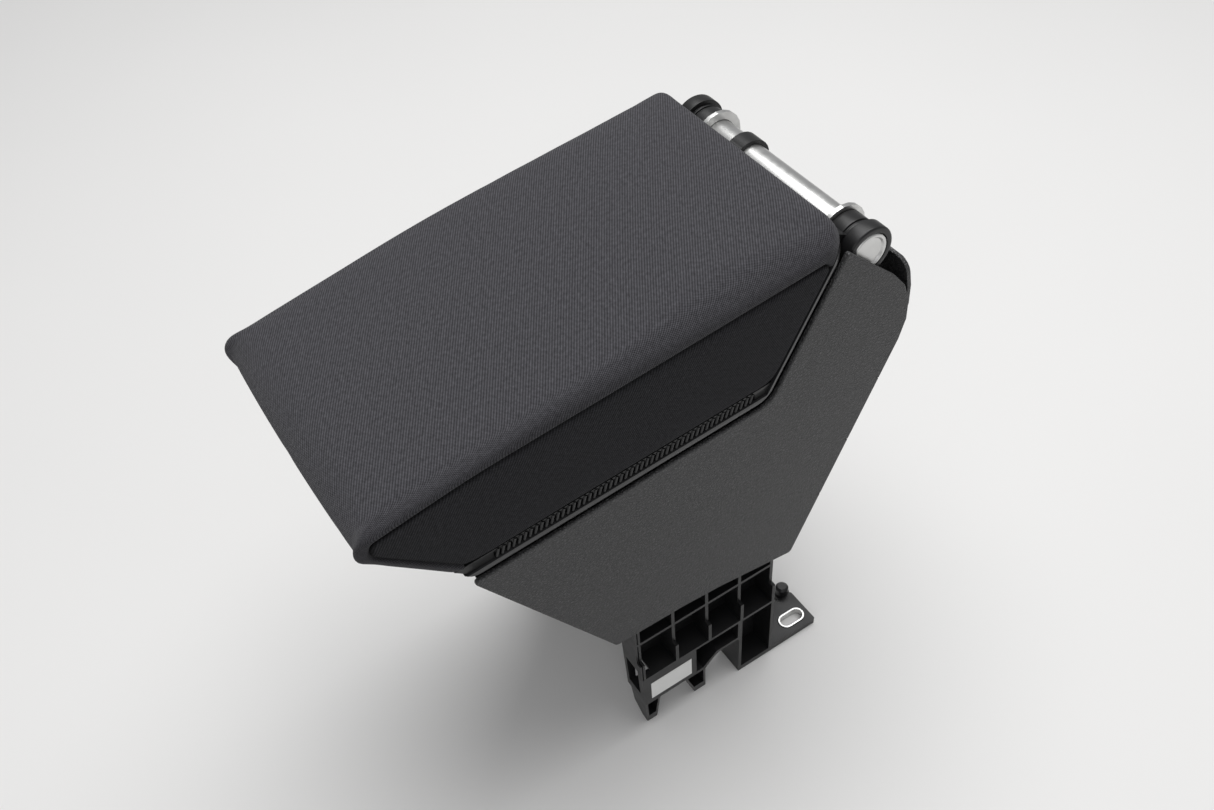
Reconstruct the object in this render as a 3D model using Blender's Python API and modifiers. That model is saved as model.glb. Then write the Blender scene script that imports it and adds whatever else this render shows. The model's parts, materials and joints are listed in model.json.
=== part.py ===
"""Car armrest: a padded lid hinged on a plastic base with ribbed feet and two bolting flanges.

Metres, +Z up, the nose towards -X, the origin at the bottom centre of the closed armrest.
Profiles are pairs (forward, height): forward runs from the rear end of the bolting flanges to the nose.
Depth runs inwards from the outer face of a side. Side -1 is the left side (-Y), side 1 the right side (+Y).
"""

import math

import bmesh
import bpy
from mathutils import Matrix, Vector

# Clearances
GAP = 0.0003
JOIN = 0.00005
PARTING_GAP = 0.0018
ARC_STEP = math.radians(18)
LARGE = 0.5

# Whole armrest
WIDTH = 0.160

# Lid outline, seen from the side
LID_TOP_REAR = (0.009, 0.3556)
LID_CREST = (0.075, 0.3494)
LID_NOSE = (0.2939, 0.3120)
LIP_FRONT = (0.229, 0.247)
LID_BEND = (0.051, 0.259)
LID_REAR_LIP = (0.007, 0.338)
LID_REAR_RADIUS = 0.005
LID_CREST_RADIUS = 0.40
LID_NOSE_RADIUS = 0.014
LIP_RADIUS = 0.009
LID_BEND_RADIUS = 0.012
LID_REAR_ROLL = 0.017
LID_FRONT_ROLL = 0.006
LID_SIDE_ROUNDING = 0.0045
LID_REAR_CORNER = 0.009
LID_FRONT_CORNER = 0.005
LID_FRONT_BOW = 0.0015
PAN_FRONT_CORNER = 0.0015
LIP_HEIGHT = 0.0065
TOOTH_BAND = 0.0065
STEEP_LIP = 0.005
PAN_WALL = 0.0026
FRAME_PLATE = 0.0026
FRAME_RIM = 0.0036
FABRIC = 0.0020
BAND_RECESS = 0.0012
TOOTH_PITCH = 0.0031
TOOTH_GROOVE = 0.0014
TOOTH_DEPTH = 0.0010
LID_SCREW_INSETS = (0.030, 0.035)
LID_BOSS_RADIUS = 0.0045

# Hinge
HINGE_AXIS = (-0.013, 0.3235)
TUBE_RADIUS = 0.0105
TUBE_WALL = 0.0015
TUBE_END_DEPTH = 0.0079
BARREL_RADIUS = 0.0130
BARREL_RIM_RADIUS = 0.0150
BARREL_COLLAR = 0.0034
BARREL_GROOVE = 0.0010
BARREL_DEPTHS = (0.0082, 0.0260)
BARREL_RINGS = 0.0052
HINGE_ARM_STEP = 0.0004
KNUCKLE_DEPTHS = (0.0480, 0.0580)
HINGE_ARM_THICKNESS = 0.010
HINGE_FOOT_LENGTH = 0.034
HINGE_FOOT_THICKNESS = 0.003
HINGE_SCREW_SPACING = 0.013
HINGE_GUSSET = (0.004, 0.0103)
HINGE_RELIEF = 0.029
CAP_RADIUS = 0.0112
CAP_THICKNESS = 0.0030
BRACKET_SHEET = 0.0025
BRACKET_EYE_RADIUS = 0.0155
BRACKET_WEB_HEIGHTS = (0.214, 0.250)
BRACKET_FRONT = 0.036
BRACKET_BOLTS = ((0.026, 0.244), (0.026, 0.222))

# Side covers
COVER_THICKNESS = 0.003
COVER_EDGE_ROUNDING = 0.0008
COVER_FRONT_BOTTOM = (0.1565, 0.1185)
COVER_FRONT_TOP = (0.2353, 0.2535)
COVER_FRONT_RADIUS = 0.0020
COVER_BOTTOM_BEND = (0.095, 0.1168)
COVER_BEND_RADIUS = 0.20
COVER_REAR_BOTTOM = (0.028, 0.106)
COVER_REAR_TOP = (-0.052, 0.281)
COVER_REAR_RADIUS = 0.045
CLIP_HEIGHTS = (0.236, 0.196, 0.158)
CLIP_LENGTH = 0.018
CLIP_NOTCH = 0.0022

# Rear and front covers
PANEL = 0.0025
REAR_COVER_PROUD = 0.0022
REAR_COVER_TOP = (-0.0415, 0.305)
REAR_COVER_SHOULDER = (-0.0480, 0.272)
REAR_COVER_CORNER = 0.009
REAR_COVER_RADIUS = 0.045
FRONT_COVER_RECESS = 0.002

# Side frames
FRAME_DEPTH = 0.020
WEB = 0.003
RIB = 0.0023
RECESS = 0.0036
KINK_HEIGHTS = (0.071, 0.079)
LEG_REAR = 0.0385
LEG_FRONT_TOP = (0.144, 0.130)
LEG_FRONT_LOW = (0.141, 0.036)
LEG_TOP_REAR = 0.117
LOWER_RAIL = 0.0600
UPPER_RAIL = 0.0970
RIB_SPACING = 0.0251
BOX_FRONT = 0.0665
ARCH_HEIGHT = 0.041
ARCH_TURN = 0.084
ARCH_FRONT = 0.0935
BELLY_HEIGHT = 0.031
PANEL_REAR = 0.103
PRONG_TIPS = ((0.0905, 0.0995), (0.130, 0.1375))
PRONG_ROOTS = ((0.0935, 0.1105), (0.1285, 0.1405))
PRONG_TIP_DEPTHS = (0.0045, 0.0100)
PRONG_ROOT_DEPTHS = (0.0004, 0.0175)
PRONG_SHOULDER = 0.011
PRONG_WALL = 0.0016
PRONG_POCKET_HEIGHTS = (0.008, 0.0285)
PRONG_POCKET_DEPTH = 0.010
FLANGE_WIDTH = 0.027
FLANGE_THICKNESS = 0.0045
SLOT_CENTRE = (0.0132, 0.0098)
SLOT_LENGTH = 0.020
SLOT_WIDTH = 0.011
SLEEVE_WALL = 0.0014
SLEEVE_PROUD = 0.0007
LOCATOR = (0.0055, 0.0300)
LOCATOR_RADIUS = 0.0045
LOCATOR_HEIGHT = 0.0125
COVER_BOSSES = ((0.060, 0.135), (0.130, 0.150), (0.180, 0.225), (0.060, 0.235))
COVER_BOSS_RADIUS = 0.004

# Label
LABEL_REAR = 0.1045
LABEL_LENGTH = 0.031
LABEL_HEIGHTS = (0.0350, 0.0530)
LABEL_THICKNESS = 0.0005

# Bin
BIN_WALL = 0.0025
BIN_DEPTH = 0.0225
BIN_REAR = 0.046
BIN_RIM_REAR = 0.060
BIN_FRONT_OFFSET = 0.008
BIN_FLOOR_OFFSET = 0.006
BIN_RADIUS = 0.008
RIM_DROP = 0.0037
BIN_SCREWS = ((0.075, 0.150), (0.160, 0.190))
BIN_PAD_RADIUS = 0.005

# Fasteners
SCREW_RADIUS = 0.0015
SCREW_HEAD_RADIUS = 0.0032
SCREW_HEAD = 0.0022
SCREW_STEPS = 8
BOLT_RADIUS = 0.0025
BOLT_HEAD_RADIUS = 0.0048
BOLT_HEAD = 0.0032

# Bump stops
STOP_RADIUS = 0.005
STOP_INSET = 0.014
STOP_EDGE = 0.0012

COLOURS = {
    "fabric": ((0.060, 0.060, 0.066), 0.95, 0.0),
    "foam": ((0.55, 0.52, 0.45), 0.95, 0.0),
    "black_plastic": ((0.018, 0.018, 0.019), 0.45, 0.0),
    "grained_plastic": ((0.055, 0.055, 0.058), 0.62, 0.0),
    "steel": ((0.62, 0.63, 0.64), 0.28, 1.0),
    "rubber": ((0.02, 0.02, 0.02), 0.85, 0.0),
    "label": ((0.80, 0.80, 0.80), 0.5, 0.0),
}


# Outlines

def along(p, q):
    """Unit vector from p to q."""
    length = math.dist(p, q)
    return (q[0] - p[0]) / length, (q[1] - p[1]) / length


def shifted(line, distance):
    """The line through two points, moved to its left by a distance."""
    (p, q) = line
    d = along(p, q)
    return tuple((x - d[1] * distance, y + d[0] * distance) for x, y in (p, q))


def meet(first, second):
    """Point where two lines, each given by two points, cross."""
    (ax, ay), (bx, by) = first
    (cx, cy), (dx, dy) = second
    across = (bx - ax) * (dy - cy) - (by - ay) * (dx - cx)
    t = ((cx - ax) * (dy - cy) - (cy - ay) * (dx - cx)) / across
    return ax + t * (bx - ax), ay + t * (by - ay)


def area(points):
    return sum(p[0] * q[1] - q[0] * p[1] for p, q in zip(points, points[1:] + points[:1])) / 2


def inset(corners, distance):
    """Corners (x, y, radius) of the same outline, moved inwards, with the radii made smaller."""
    turn = 1 if area(corners) > 0 else -1
    result = []
    for i, (x, y, radius) in enumerate(corners):
        before = corners[i - 1][:2]
        after = corners[(i + 1) % len(corners)][:2]
        lines = [shifted((before, (x, y)), turn * distance), shifted(((x, y), after), turn * distance)]
        convex = turn * area([before, (x, y), after]) > 0
        result.append((*meet(*lines), max(radius - distance if convex else radius + distance, 0)))
    return result


def arcs(corners):
    """Points of an outline whose corners (x, y, radius) are rounded with arcs."""
    points = []
    for i, (x, y, radius) in enumerate(corners):
        if radius <= 0:
            points.append((x, y))
            continue
        back = along((x, y), corners[i - 1][:2])
        ahead = along((x, y), corners[(i + 1) % len(corners)][:2])
        half = math.acos(back[0] * ahead[0] + back[1] * ahead[1]) / 2
        reach = radius / math.tan(half)
        middle = along((0, 0), (back[0] + ahead[0], back[1] + ahead[1]))
        centre = (x + middle[0] * radius / math.sin(half), y + middle[1] * radius / math.sin(half))
        start = math.atan2(y + back[1] * reach - centre[1], x + back[0] * reach - centre[0])
        turn = math.pi - 2 * half
        if back[0] * ahead[1] - back[1] * ahead[0] > 0:
            turn = -turn
        count = max(1, math.ceil(abs(turn) / ARC_STEP - 0.001))
        angles = [start + turn * k / count for k in range(count + 1)]
        points += [(centre[0] + radius * math.cos(a), centre[1] + radius * math.sin(a)) for a in angles]
    return points


def circle(centre, radius, count=24):
    angles = [2 * math.pi * k / count for k in range(count)]
    return [(centre[0] + radius * math.cos(a), centre[1] + radius * math.sin(a)) for a in angles]


def slot(centre, length, width, count=8):
    """Outline with straight sides and round ends, its length along the first axis."""
    reach = (length - width) / 2
    points = []
    for side, start in ((1, -math.pi / 2), (-1, math.pi / 2)):
        for k in range(count + 1):
            a = start + math.pi * k / count
            across = centre[0] + side * reach + width / 2 * math.cos(a)
            points.append((across, centre[1] + width / 2 * math.sin(a)))
    return points


def box(f0, f1, h0, h1):
    return [(f0, h0), (f1, h0), (f1, h1), (f0, h1)]


# Meshes

def material(name):
    if name in bpy.data.materials:
        return bpy.data.materials[name]
    colour, roughness, metallic = COLOURS[name]
    made = bpy.data.materials.new(name)
    made.use_nodes = True
    shader = made.node_tree.nodes["Principled BSDF"]
    shader.inputs["Base Color"].default_value = (*colour, 1)
    shader.inputs["Roughness"].default_value = roughness
    shader.inputs["Metallic"].default_value = metallic
    return made


def add(name, mesh, finish=None):
    """Object for a mesh: a part with a finish, or a hidden cutter without one."""
    made = bpy.data.objects.new(name, mesh)
    if finish:
        PARTS.objects.link(made)
        mesh.materials.append(material(finish))
        return made
    CUTTERS.objects.link(made)
    made.hide_render = True
    made.display_type = "WIRE"
    return made


def prism(name, outlines, low, high, turn, finish=None):
    """Solid of flat outlines drawn in a plane and pushed from low to high along its normal."""
    curve = bpy.data.curves.new(name, "CURVE")
    curve.dimensions = "2D"
    curve.fill_mode = "BOTH"
    curve.extrude = (high - low) / 2
    for outline in outlines:
        spline = curve.splines.new("POLY")
        spline.points.add(len(outline) - 1)
        for point, (x, y) in zip(spline.points, outline):
            point.co = (x, y, 0, 1)
        spline.use_cyclic_u = True
    drawn = bpy.data.objects.new(name, curve)
    CUTTERS.objects.link(drawn)
    graph = bpy.context.evaluated_depsgraph_get()
    mesh = bpy.data.meshes.new_from_object(drawn.evaluated_get(graph))
    bpy.data.objects.remove(drawn)
    bpy.data.curves.remove(curve)
    mesh.transform(turn @ Matrix.Translation((0, 0, (low + high) / 2)))
    return add(name, tidied(mesh), finish)


def tidied(mesh):
    """Mesh with its doubles merged, its faces outwards and its round faces smooth."""
    shape = bmesh.new()
    shape.from_mesh(mesh)
    bmesh.ops.remove_doubles(shape, verts=shape.verts, dist=1e-6)
    bmesh.ops.recalc_face_normals(shape, faces=shape.faces)
    shape.to_mesh(mesh)
    shape.free()
    mesh.shade_smooth()
    mesh.set_sharp_from_angle(angle=math.radians(35))
    return mesh


def upright(name, outlines, y_low, y_high, finish=None):
    """Solid of outlines (forward, height) between two places across the armrest."""
    turn = Matrix(((-1, 0, 0, ORIGIN), (0, 0, 1, 0), (0, 1, 0, 0), (0, 0, 0, 1)))
    return prism(name, outlines, y_low, y_high, turn, finish)


def flat(name, outlines, low, high, finish=None):
    """Solid of outlines (forward, y) between two heights."""
    turn = Matrix(((-1, 0, 0, ORIGIN), (0, 1, 0, 0), (0, 0, 1, 0), (0, 0, 0, 1)))
    return prism(name, outlines, low, high, turn, finish)


def at_depths(side, shallow, deep):
    """Low and high y for two depths under the outer face of a side."""
    return sorted((side * (WIDTH / 2 - shallow), side * (WIDTH / 2 - deep)))


def place(forward, height, side, depth):
    return Vector((ORIGIN - forward, side * (WIDTH / 2 - depth), height))


def turned(name, profile, centre, direction, finish=None, steps=24):
    """Turned solid whose profile (radius, height) runs down its outer side; a ring's profile closes on itself."""
    ring = profile[0] == profile[-1]
    points = profile[:-1] if ring else profile
    mesh = bpy.data.meshes.new(name)
    edges = [(i, i + 1) for i in range(len(points) - 1)]
    if ring:
        edges.append((len(points) - 1, 0))
    mesh.from_pydata([(r, 0, h) for r, h in points], edges, [])
    made = add(name, mesh, finish)
    screw = made.modifiers.new("Turn", "SCREW")
    screw.steps = screw.render_steps = steps
    screw.use_merge_vertices = True
    screw.merge_threshold = 1e-5
    screw.use_smooth_shade = True
    made.location = centre
    made.rotation_mode = "QUATERNION"
    made.rotation_quaternion = Vector((0, 0, 1)).rotation_difference(direction)
    return made


def rod(name, centre, direction, radius, length, finish=None, steps=12):
    """Cylinder from a point along a direction."""
    profile = [(0, length), (radius, length), (radius, 0), (0, 0)]
    return turned(name, profile, centre, direction, finish, steps)


def combine(target, operation, *others):
    for other in others:
        boolean = target.modifiers.new(other.name, "BOOLEAN")
        boolean.operation = operation
        boolean.object = other
    return target


def bevel(target, width, segments):
    """Rounds the sharp edges of a prism, once the triangles of its flat ends are joined."""
    shape = bmesh.new()
    shape.from_mesh(target.data)
    bmesh.ops.dissolve_limit(shape, angle_limit=math.radians(0.5), verts=shape.verts, edges=shape.edges)
    shape.to_mesh(target.data)
    shape.free()
    edges = target.modifiers.new("Edges", "BEVEL")
    edges.width = width
    edges.segments = segments
    edges.limit_method = "ANGLE"
    edges.angle_limit = math.radians(50)
    edges.use_clamp_overlap = False
    return target


# Outlines that several pieces share

def lid_corners():
    return [
        (*LID_TOP_REAR, LID_REAR_RADIUS),
        (*LID_CREST, LID_CREST_RADIUS),
        (*LID_NOSE, LID_NOSE_RADIUS),
        (*LIP_FRONT, LIP_RADIUS),
        (*LID_BEND, LID_BEND_RADIUS),
        (*LID_REAR_LIP, LID_REAR_RADIUS),
    ]


def level_line(offset):
    """Level part of the parting line, moved up into the lid by an offset."""
    return shifted((LIP_FRONT, LID_BEND), -offset)


def steep_line(offset):
    """Steep rear part of the parting line, moved into the lid by an offset."""
    return shifted((LID_BEND, LID_REAR_LIP), -offset)


def below_line(level, steep):
    """Region under a line that follows the parting line at two offsets."""
    bend = meet(level_line(level), steep_line(steep))
    forward = along(LID_BEND, LIP_FRONT)
    up = along(LID_BEND, LID_REAR_LIP)
    front = (bend[0] + forward[0] * LARGE, bend[1] + forward[1] * LARGE)
    rear = (bend[0] + up[0] * LARGE, bend[1] + up[1] * LARGE)
    return [front, bend, rear, (rear[0] - LARGE, -LARGE), (front[0], -LARGE)]


def over_line(level, steep):
    """Region over a line that follows the parting line at two offsets."""
    front, bend, rear = below_line(level, steep)[:3]
    return [front, bend, rear, (rear[0], 2 * LARGE), (front[0], 2 * LARGE)]


def cover_corners():
    bend = meet(level_line(-PARTING_GAP), steep_line(-PARTING_GAP))
    front = meet(level_line(-PARTING_GAP), (COVER_FRONT_BOTTOM, COVER_FRONT_TOP))
    rear = meet(steep_line(-PARTING_GAP), (COVER_REAR_TOP, LID_REAR_LIP))
    return [
        (*COVER_FRONT_BOTTOM, 0.004),
        (*front, COVER_FRONT_RADIUS),
        (*bend, LID_BEND_RADIUS + PARTING_GAP),
        (*rear, 0.0015),
        (*COVER_REAR_TOP, COVER_REAR_RADIUS),
        (*COVER_REAR_BOTTOM, 0.003),
        (*COVER_BOTTOM_BEND, COVER_BEND_RADIUS),
    ]


def on_pan(forward, up):
    """Profile point at a distance forward of the bend along the pan's underside, and up into the lid."""
    d = along(LID_BEND, LIP_FRONT)
    return LID_BEND[0] + d[0] * forward - d[1] * up, LID_BEND[1] + d[1] * forward + d[0] * up


def pan_up():
    d = along(LID_BEND, LIP_FRONT)
    return Vector((d[1], 0, d[0]))


def on_steep(down, out):
    """Profile point down the pan's steep rear face from the foot of the hinge arm, and out of the lid."""
    d = along(LID_REAR_LIP, LID_BEND)
    reach = (HINGE_AXIS[0] - LID_REAR_LIP[0]) * d[0] + (HINGE_AXIS[1] - LID_REAR_LIP[1]) * d[1]
    foot = (LID_REAR_LIP[0] + d[0] * reach, LID_REAR_LIP[1] + d[1] * reach)
    return foot[0] + d[0] * down + d[1] * out, foot[1] + d[1] * down - d[0] * out


def steep_out():
    d = along(LID_REAR_LIP, LID_BEND)
    return Vector((-d[1], 0, -d[0]))


def rear_cover_corners():
    """Outer line of the rear cover, from its bottom to its top."""
    bottom = shifted((COVER_REAR_BOTTOM, COVER_REAR_TOP), REAR_COVER_PROUD)[0]
    return [(*bottom, 0), (*REAR_COVER_SHOULDER, REAR_COVER_RADIUS), (*REAR_COVER_TOP, 0)]


# Lid

def eased(radius, depth):
    """How far a rounded edge has drawn back at a depth under the side face."""
    rest = max(radius - depth, 0)
    return radius - math.sqrt(radius * radius - rest * rest)


def lid_section(distance, depth, y, front_corner):
    """Outline of the lid, inset by a distance, at a depth under its side face."""
    rear_roll, front_roll, front, side, rear = (
        distance + eased(max(radius - distance, 0.0006), depth)
        for radius in (LID_REAR_ROLL, LID_FRONT_ROLL, front_corner, LID_SIDE_ROUNDING, LID_REAR_CORNER)
    )
    front += LID_FRONT_BOW * (2 * y / WIDTH) ** 2
    corners = lid_corners()
    sides = []
    for i, inwards in enumerate((rear_roll, front_roll, front, side, side, rear)):
        sides.append(shifted((corners[i][:2], corners[(i + 1) % len(corners)][:2]), -inwards))
    points = [meet(sides[i - 1], line) for i, line in enumerate(sides)]
    rounded = []
    for i, point in enumerate(points):
        before, after = points[i - 1], points[(i + 1) % len(points)]
        back, ahead = along(point, before), along(point, after)
        half = math.acos(back[0] * ahead[0] + back[1] * ahead[1]) / 2
        room = 0.45 * min(math.dist(point, before), math.dist(point, after)) * math.tan(half)
        rounded.append((*point, min(max(corners[i][2] - distance, 0.0008), room)))
    return arcs(rounded)


def lid_block(name, distance, finish=None, front_corner=LID_FRONT_CORNER):
    """Whole outer form of the lid, inset by a distance: sections across it, drawn back at its sides."""
    half = WIDTH / 2 - distance
    depths = [LID_REAR_ROLL * (1 - math.cos(math.radians(t))) for t in (0, 10, 22, 36, 52, 70, 90)]
    stations = [(depth, half - depth) for depth in depths] + [(half, half * 0.5)]
    places = [(depth, -y) for depth, y in stations] + [(half, 0)]
    places += [(depth, y) for depth, y in reversed(stations)]
    shape = bmesh.new()
    rings = []
    for depth, y in places:
        ring = [shape.verts.new((ORIGIN - f, y, h)) for f, h in lid_section(distance, depth, y, front_corner)]
        rings.append(ring)
    for ring, other in zip(rings, rings[1:]):
        for i in range(len(ring)):
            shape.faces.new((ring[i - 1], ring[i], other[i], other[i - 1]))
    shape.faces.new(rings[0])
    shape.faces.new(rings[-1])
    mesh = bpy.data.meshes.new(name)
    shape.to_mesh(mesh)
    shape.free()
    return add(name, tidied(mesh), finish)


def across(name, outline, finish=None, half=LARGE):
    return upright(name, [outline], -half, half, finish)


def lid_screw_places():
    length = math.dist(LID_BEND, LIP_FRONT)
    for forward in (LID_SCREW_INSETS[0], length - LID_SCREW_INSETS[0]):
        for side in (-1, 1):
            yield forward, side


def make_fabric_cover():
    cover = lid_block("fabric_cover", 0, "fabric")
    base = LIP_HEIGHT + TOOTH_BAND + GAP
    combine(cover, "DIFFERENCE", across("cover_hem_cut", below_line(base, STEEP_LIP + GAP)))
    combine(cover, "DIFFERENCE", lid_block("cover_hollow", FABRIC))


def make_foam_core():
    foam = lid_block("foam_core", FABRIC + GAP, "foam")
    base = LIP_HEIGHT + TOOTH_BAND + GAP
    combine(foam, "DIFFERENCE", across("foam_base_cut", below_line(base, STEEP_LIP + GAP)))


def make_lid_frame():
    frame = lid_block("lid_frame", BAND_RECESS, "black_plastic", PAN_FRONT_CORNER)
    top = LIP_HEIGHT + TOOTH_BAND
    bottom = LIP_HEIGHT + GAP
    combine(frame, "DIFFERENCE", across("frame_base_cut", below_line(bottom, STEEP_LIP + GAP)))
    combine(frame, "DIFFERENCE", across("frame_top_cut", over_line(top, STEEP_LIP / 2)))
    pocket = lid_block("frame_pocket", FRAME_RIM, None, PAN_FRONT_CORNER)
    combine(pocket, "DIFFERENCE", across("pocket_rear_cut", below_line(0, STEEP_LIP + GAP + FRAME_RIM)))
    combine(pocket, "DIFFERENCE", across("pocket_top_cut", over_line(top - FRAME_PLATE, 0)))
    combine(frame, "DIFFERENCE", pocket, tooth_grooves())
    for number, (forward, side) in enumerate(lid_screw_places(), 1):
        low = on_pan(forward, PAN_WALL + GAP)
        centre = place(*low, side, LID_SCREW_INSETS[1])
        height = top - FRAME_PLATE / 2 - PAN_WALL - GAP
        boss = rod(f"frame_boss_{number}", centre, pan_up(), LID_BOSS_RADIUS, height)
        combine(frame, "UNION", boss)
        start = centre - pan_up() * GAP
        hole = rod(f"frame_hole_{number}", start, pan_up(), SCREW_RADIUS + GAP, height - RIB / 2)
        combine(frame, "DIFFERENCE", hole)


def tooth_grooves():
    """Upright grooves in the band's outer face, along both sides."""
    length = math.dist(LID_BEND, LIP_FRONT)
    count = int((length - 2 * LIP_RADIUS) / TOOTH_PITCH)
    outlines = []
    for k in range(count):
        start = LIP_RADIUS + k * TOOTH_PITCH
        low, high = LIP_HEIGHT - GAP, LIP_HEIGHT + TOOTH_BAND - RIB / 2
        ends = [(start, low), (start + TOOTH_GROOVE, low), (start + TOOTH_GROOVE, high), (start, high)]
        outlines.append([on_pan(*end) for end in ends])
    left = upright("grooves_left", outlines, *at_depths(-1, -GAP, BAND_RECESS + TOOTH_DEPTH))
    right = upright("grooves_right", outlines, *at_depths(1, -GAP, BAND_RECESS + TOOTH_DEPTH))
    shape = bmesh.new()
    shape.from_mesh(left.data)
    shape.from_mesh(right.data)
    shape.to_mesh(left.data)
    shape.free()
    bpy.data.objects.remove(right)
    return left


def hinge_screw_places():
    middle = sum(BARREL_DEPTHS) / 2
    for side in (-1, 1):
        for down in (HINGE_FOOT_LENGTH - 0.006, HINGE_FOOT_LENGTH - 0.006 - HINGE_SCREW_SPACING):
            yield side, middle, down


def make_lid_pan():
    pan = lid_block("lid_pan", 0, "black_plastic", PAN_FRONT_CORNER)
    combine(pan, "DIFFERENCE", across("pan_top_cut", over_line(LIP_HEIGHT, STEEP_LIP)))
    combine(pan, "DIFFERENCE", lid_block("pan_hollow", PAN_WALL, None, PAN_FRONT_CORNER))
    for number, (forward, side) in enumerate(lid_screw_places(), 1):
        centre = place(*on_pan(forward, -GAP), side, LID_SCREW_INSETS[1])
        hole = rod(f"pan_hole_{number}", centre, pan_up(), SCREW_RADIUS + GAP, PAN_WALL + 2 * GAP)
        combine(pan, "DIFFERENCE", hole)
    for number, (side, depth, down) in enumerate(hinge_screw_places(), 1):
        inside = STEEP_LIP - GAP
        centre = place(*on_steep(down, -inside), side, depth)
        pad = rod(f"pan_pad_{number}", centre, steep_out(), LID_BOSS_RADIUS, inside - PAN_WALL / 2)
        combine(pan, "UNION", pad)
        start = place(*on_steep(down, -inside - GAP), side, depth)
        hole = rod(f"pan_pad_hole_{number}", start, steep_out(), SCREW_RADIUS + GAP, inside + 3 * GAP)
        combine(pan, "DIFFERENCE", hole)


def make_lid_screws():
    length = PAN_WALL + LIP_HEIGHT
    for number, (forward, side) in enumerate(lid_screw_places(), 1):
        centre = place(*on_pan(forward, -GAP), side, LID_SCREW_INSETS[1])
        yield screw(f"lid_screw_{number}", centre, -pan_up(), length)
    length = STEEP_LIP + HINGE_FOOT_THICKNESS - GAP
    for number, (side, depth, down) in enumerate(hinge_screw_places(), 1):
        centre = place(*on_steep(down, 2 * GAP + HINGE_FOOT_THICKNESS), side, depth)
        yield screw(f"hinge_screw_{number}", centre, steep_out(), length)


def screw(name, seat, outwards, length, radius=SCREW_RADIUS, head_radius=SCREW_HEAD_RADIUS, head=SCREW_HEAD):
    """Round-headed screw whose head sits on a face, with its shank going inwards."""
    profile = [(0, head), (head_radius * 0.7, head), (head_radius, head * 0.45), (head_radius, 0)]
    profile += [(radius, 0), (radius, -length + radius), (0, -length)]
    return turned(name, profile, seat, outwards, "steel", SCREW_STEPS)


def barrel_profile(length):
    """Closed profile of a barrel with ring grooves and a collar round the tube's cap; height runs outwards."""
    bore = TUBE_RADIUS + GAP
    rim, body = BARREL_RIM_RADIUS, BARREL_RADIUS
    low = body - BARREL_GROOVE
    cup, end = CAP_RADIUS + 2 * GAP, length + BARREL_COLLAR
    profile = [(bore, length), (cup, length), (cup, end), (rim - 0.001, end)]
    profile += [(rim, end - 0.001), (rim, length - 0.0048)]
    top = length - 0.0050
    for _ in range(2):
        profile += [(low, top), (low, top - 0.0010), (body, top - 0.0012), (body, top - 0.0024)]
        top -= 0.0026
    profile += [(body, 0), (bore, 0), (bore, length)]
    return profile


def hinge_arm_outline(foot_length):
    """Arm from the barrel to the pan's steep face, with a foot plate along that face."""
    half = HINGE_ARM_THICKNESS / 2
    reach = math.dist(on_steep(0, 0), HINGE_AXIS)
    face = GAP + HINGE_FOOT_THICKNESS
    ends = [(-half, reach), (-half, GAP), (foot_length, GAP), (foot_length, face)]
    ends += [(half + HINGE_GUSSET[0], face), (half, HINGE_GUSSET[1]), (half, reach)]
    return [on_steep(*end) for end in ends]


def make_lid_hinges():
    made = []
    bore = circle(HINGE_AXIS, TUBE_RADIUS + GAP, 28)
    for side, label in ((-1, "left"), (1, "right")):
        name = "lid_hinge_" + label
        low, high = BARREL_DEPTHS
        centre = place(*HINGE_AXIS, side, high)
        barrel = turned(name, barrel_profile(high - low), centre, Vector((0, side, 0)), "black_plastic", 28)
        reach = at_depths(side, low + BARREL_RINGS, high - HINGE_ARM_STEP)
        arm = upright(name + "_arm", [arcs([(*p, 0) for p in hinge_arm_outline(HINGE_FOOT_LENGTH)])], *reach)
        clear = upright(name + "_bore", [bore], *at_depths(side, 0, 0.040))
        combine(arm, "DIFFERENCE", clear)
        combine(barrel, "UNION", arm)
        for number, (where, depth, down) in enumerate(hinge_screw_places(), 1):
            if where == side:
                start = place(*on_steep(down, 0), side, depth)
                hole = rod(f"{name}_hole_{number}", start, steep_out(), SCREW_RADIUS + GAP, 0.006)
                combine(barrel, "DIFFERENCE", hole)
        made.append(barrel)
    shallow, deep = KNUCKLE_DEPTHS
    outer = circle(HINGE_AXIS, BARREL_RADIUS, 28)
    knuckle = upright("lid_knuckle", [outer], *at_depths(1, shallow, deep), "black_plastic")
    foot = HINGE_FOOT_LENGTH / 2
    reach = at_depths(1, shallow + HINGE_ARM_STEP, deep - HINGE_ARM_STEP)
    arm = upright("lid_knuckle_arm", [hinge_arm_outline(foot)], *reach)
    combine(knuckle, "UNION", arm)
    combine(knuckle, "DIFFERENCE", upright("lid_knuckle_bore", [bore], *at_depths(1, 0, 0.080)))
    return [*made, knuckle]


# Base

def lower_leg_outline():
    top = (LEG_REAR, LEG_TOP_REAR)
    return arcs([
        (LEG_REAR, JOIN, 0), (BOX_FRONT, JOIN, 0), (BOX_FRONT, ARCH_HEIGHT, 0.003), (ARCH_TURN, ARCH_HEIGHT, 0.010),
        (ARCH_FRONT, BELLY_HEIGHT, 0), (LEG_FRONT_LOW[0], BELLY_HEIGHT, 0.002),
        (*LEG_FRONT_LOW, 0), (*LEG_FRONT_TOP, 0), (*top, 0),
    ])


def rib_places():
    """Forward places of the upright ribs between the rear and the front wall."""
    count = int((LEG_FRONT_TOP[0] - RIB - LEG_REAR) / RIB_SPACING)
    return [LEG_REAR + RIB_SPACING * k for k in range(1, count + 1)]


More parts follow.
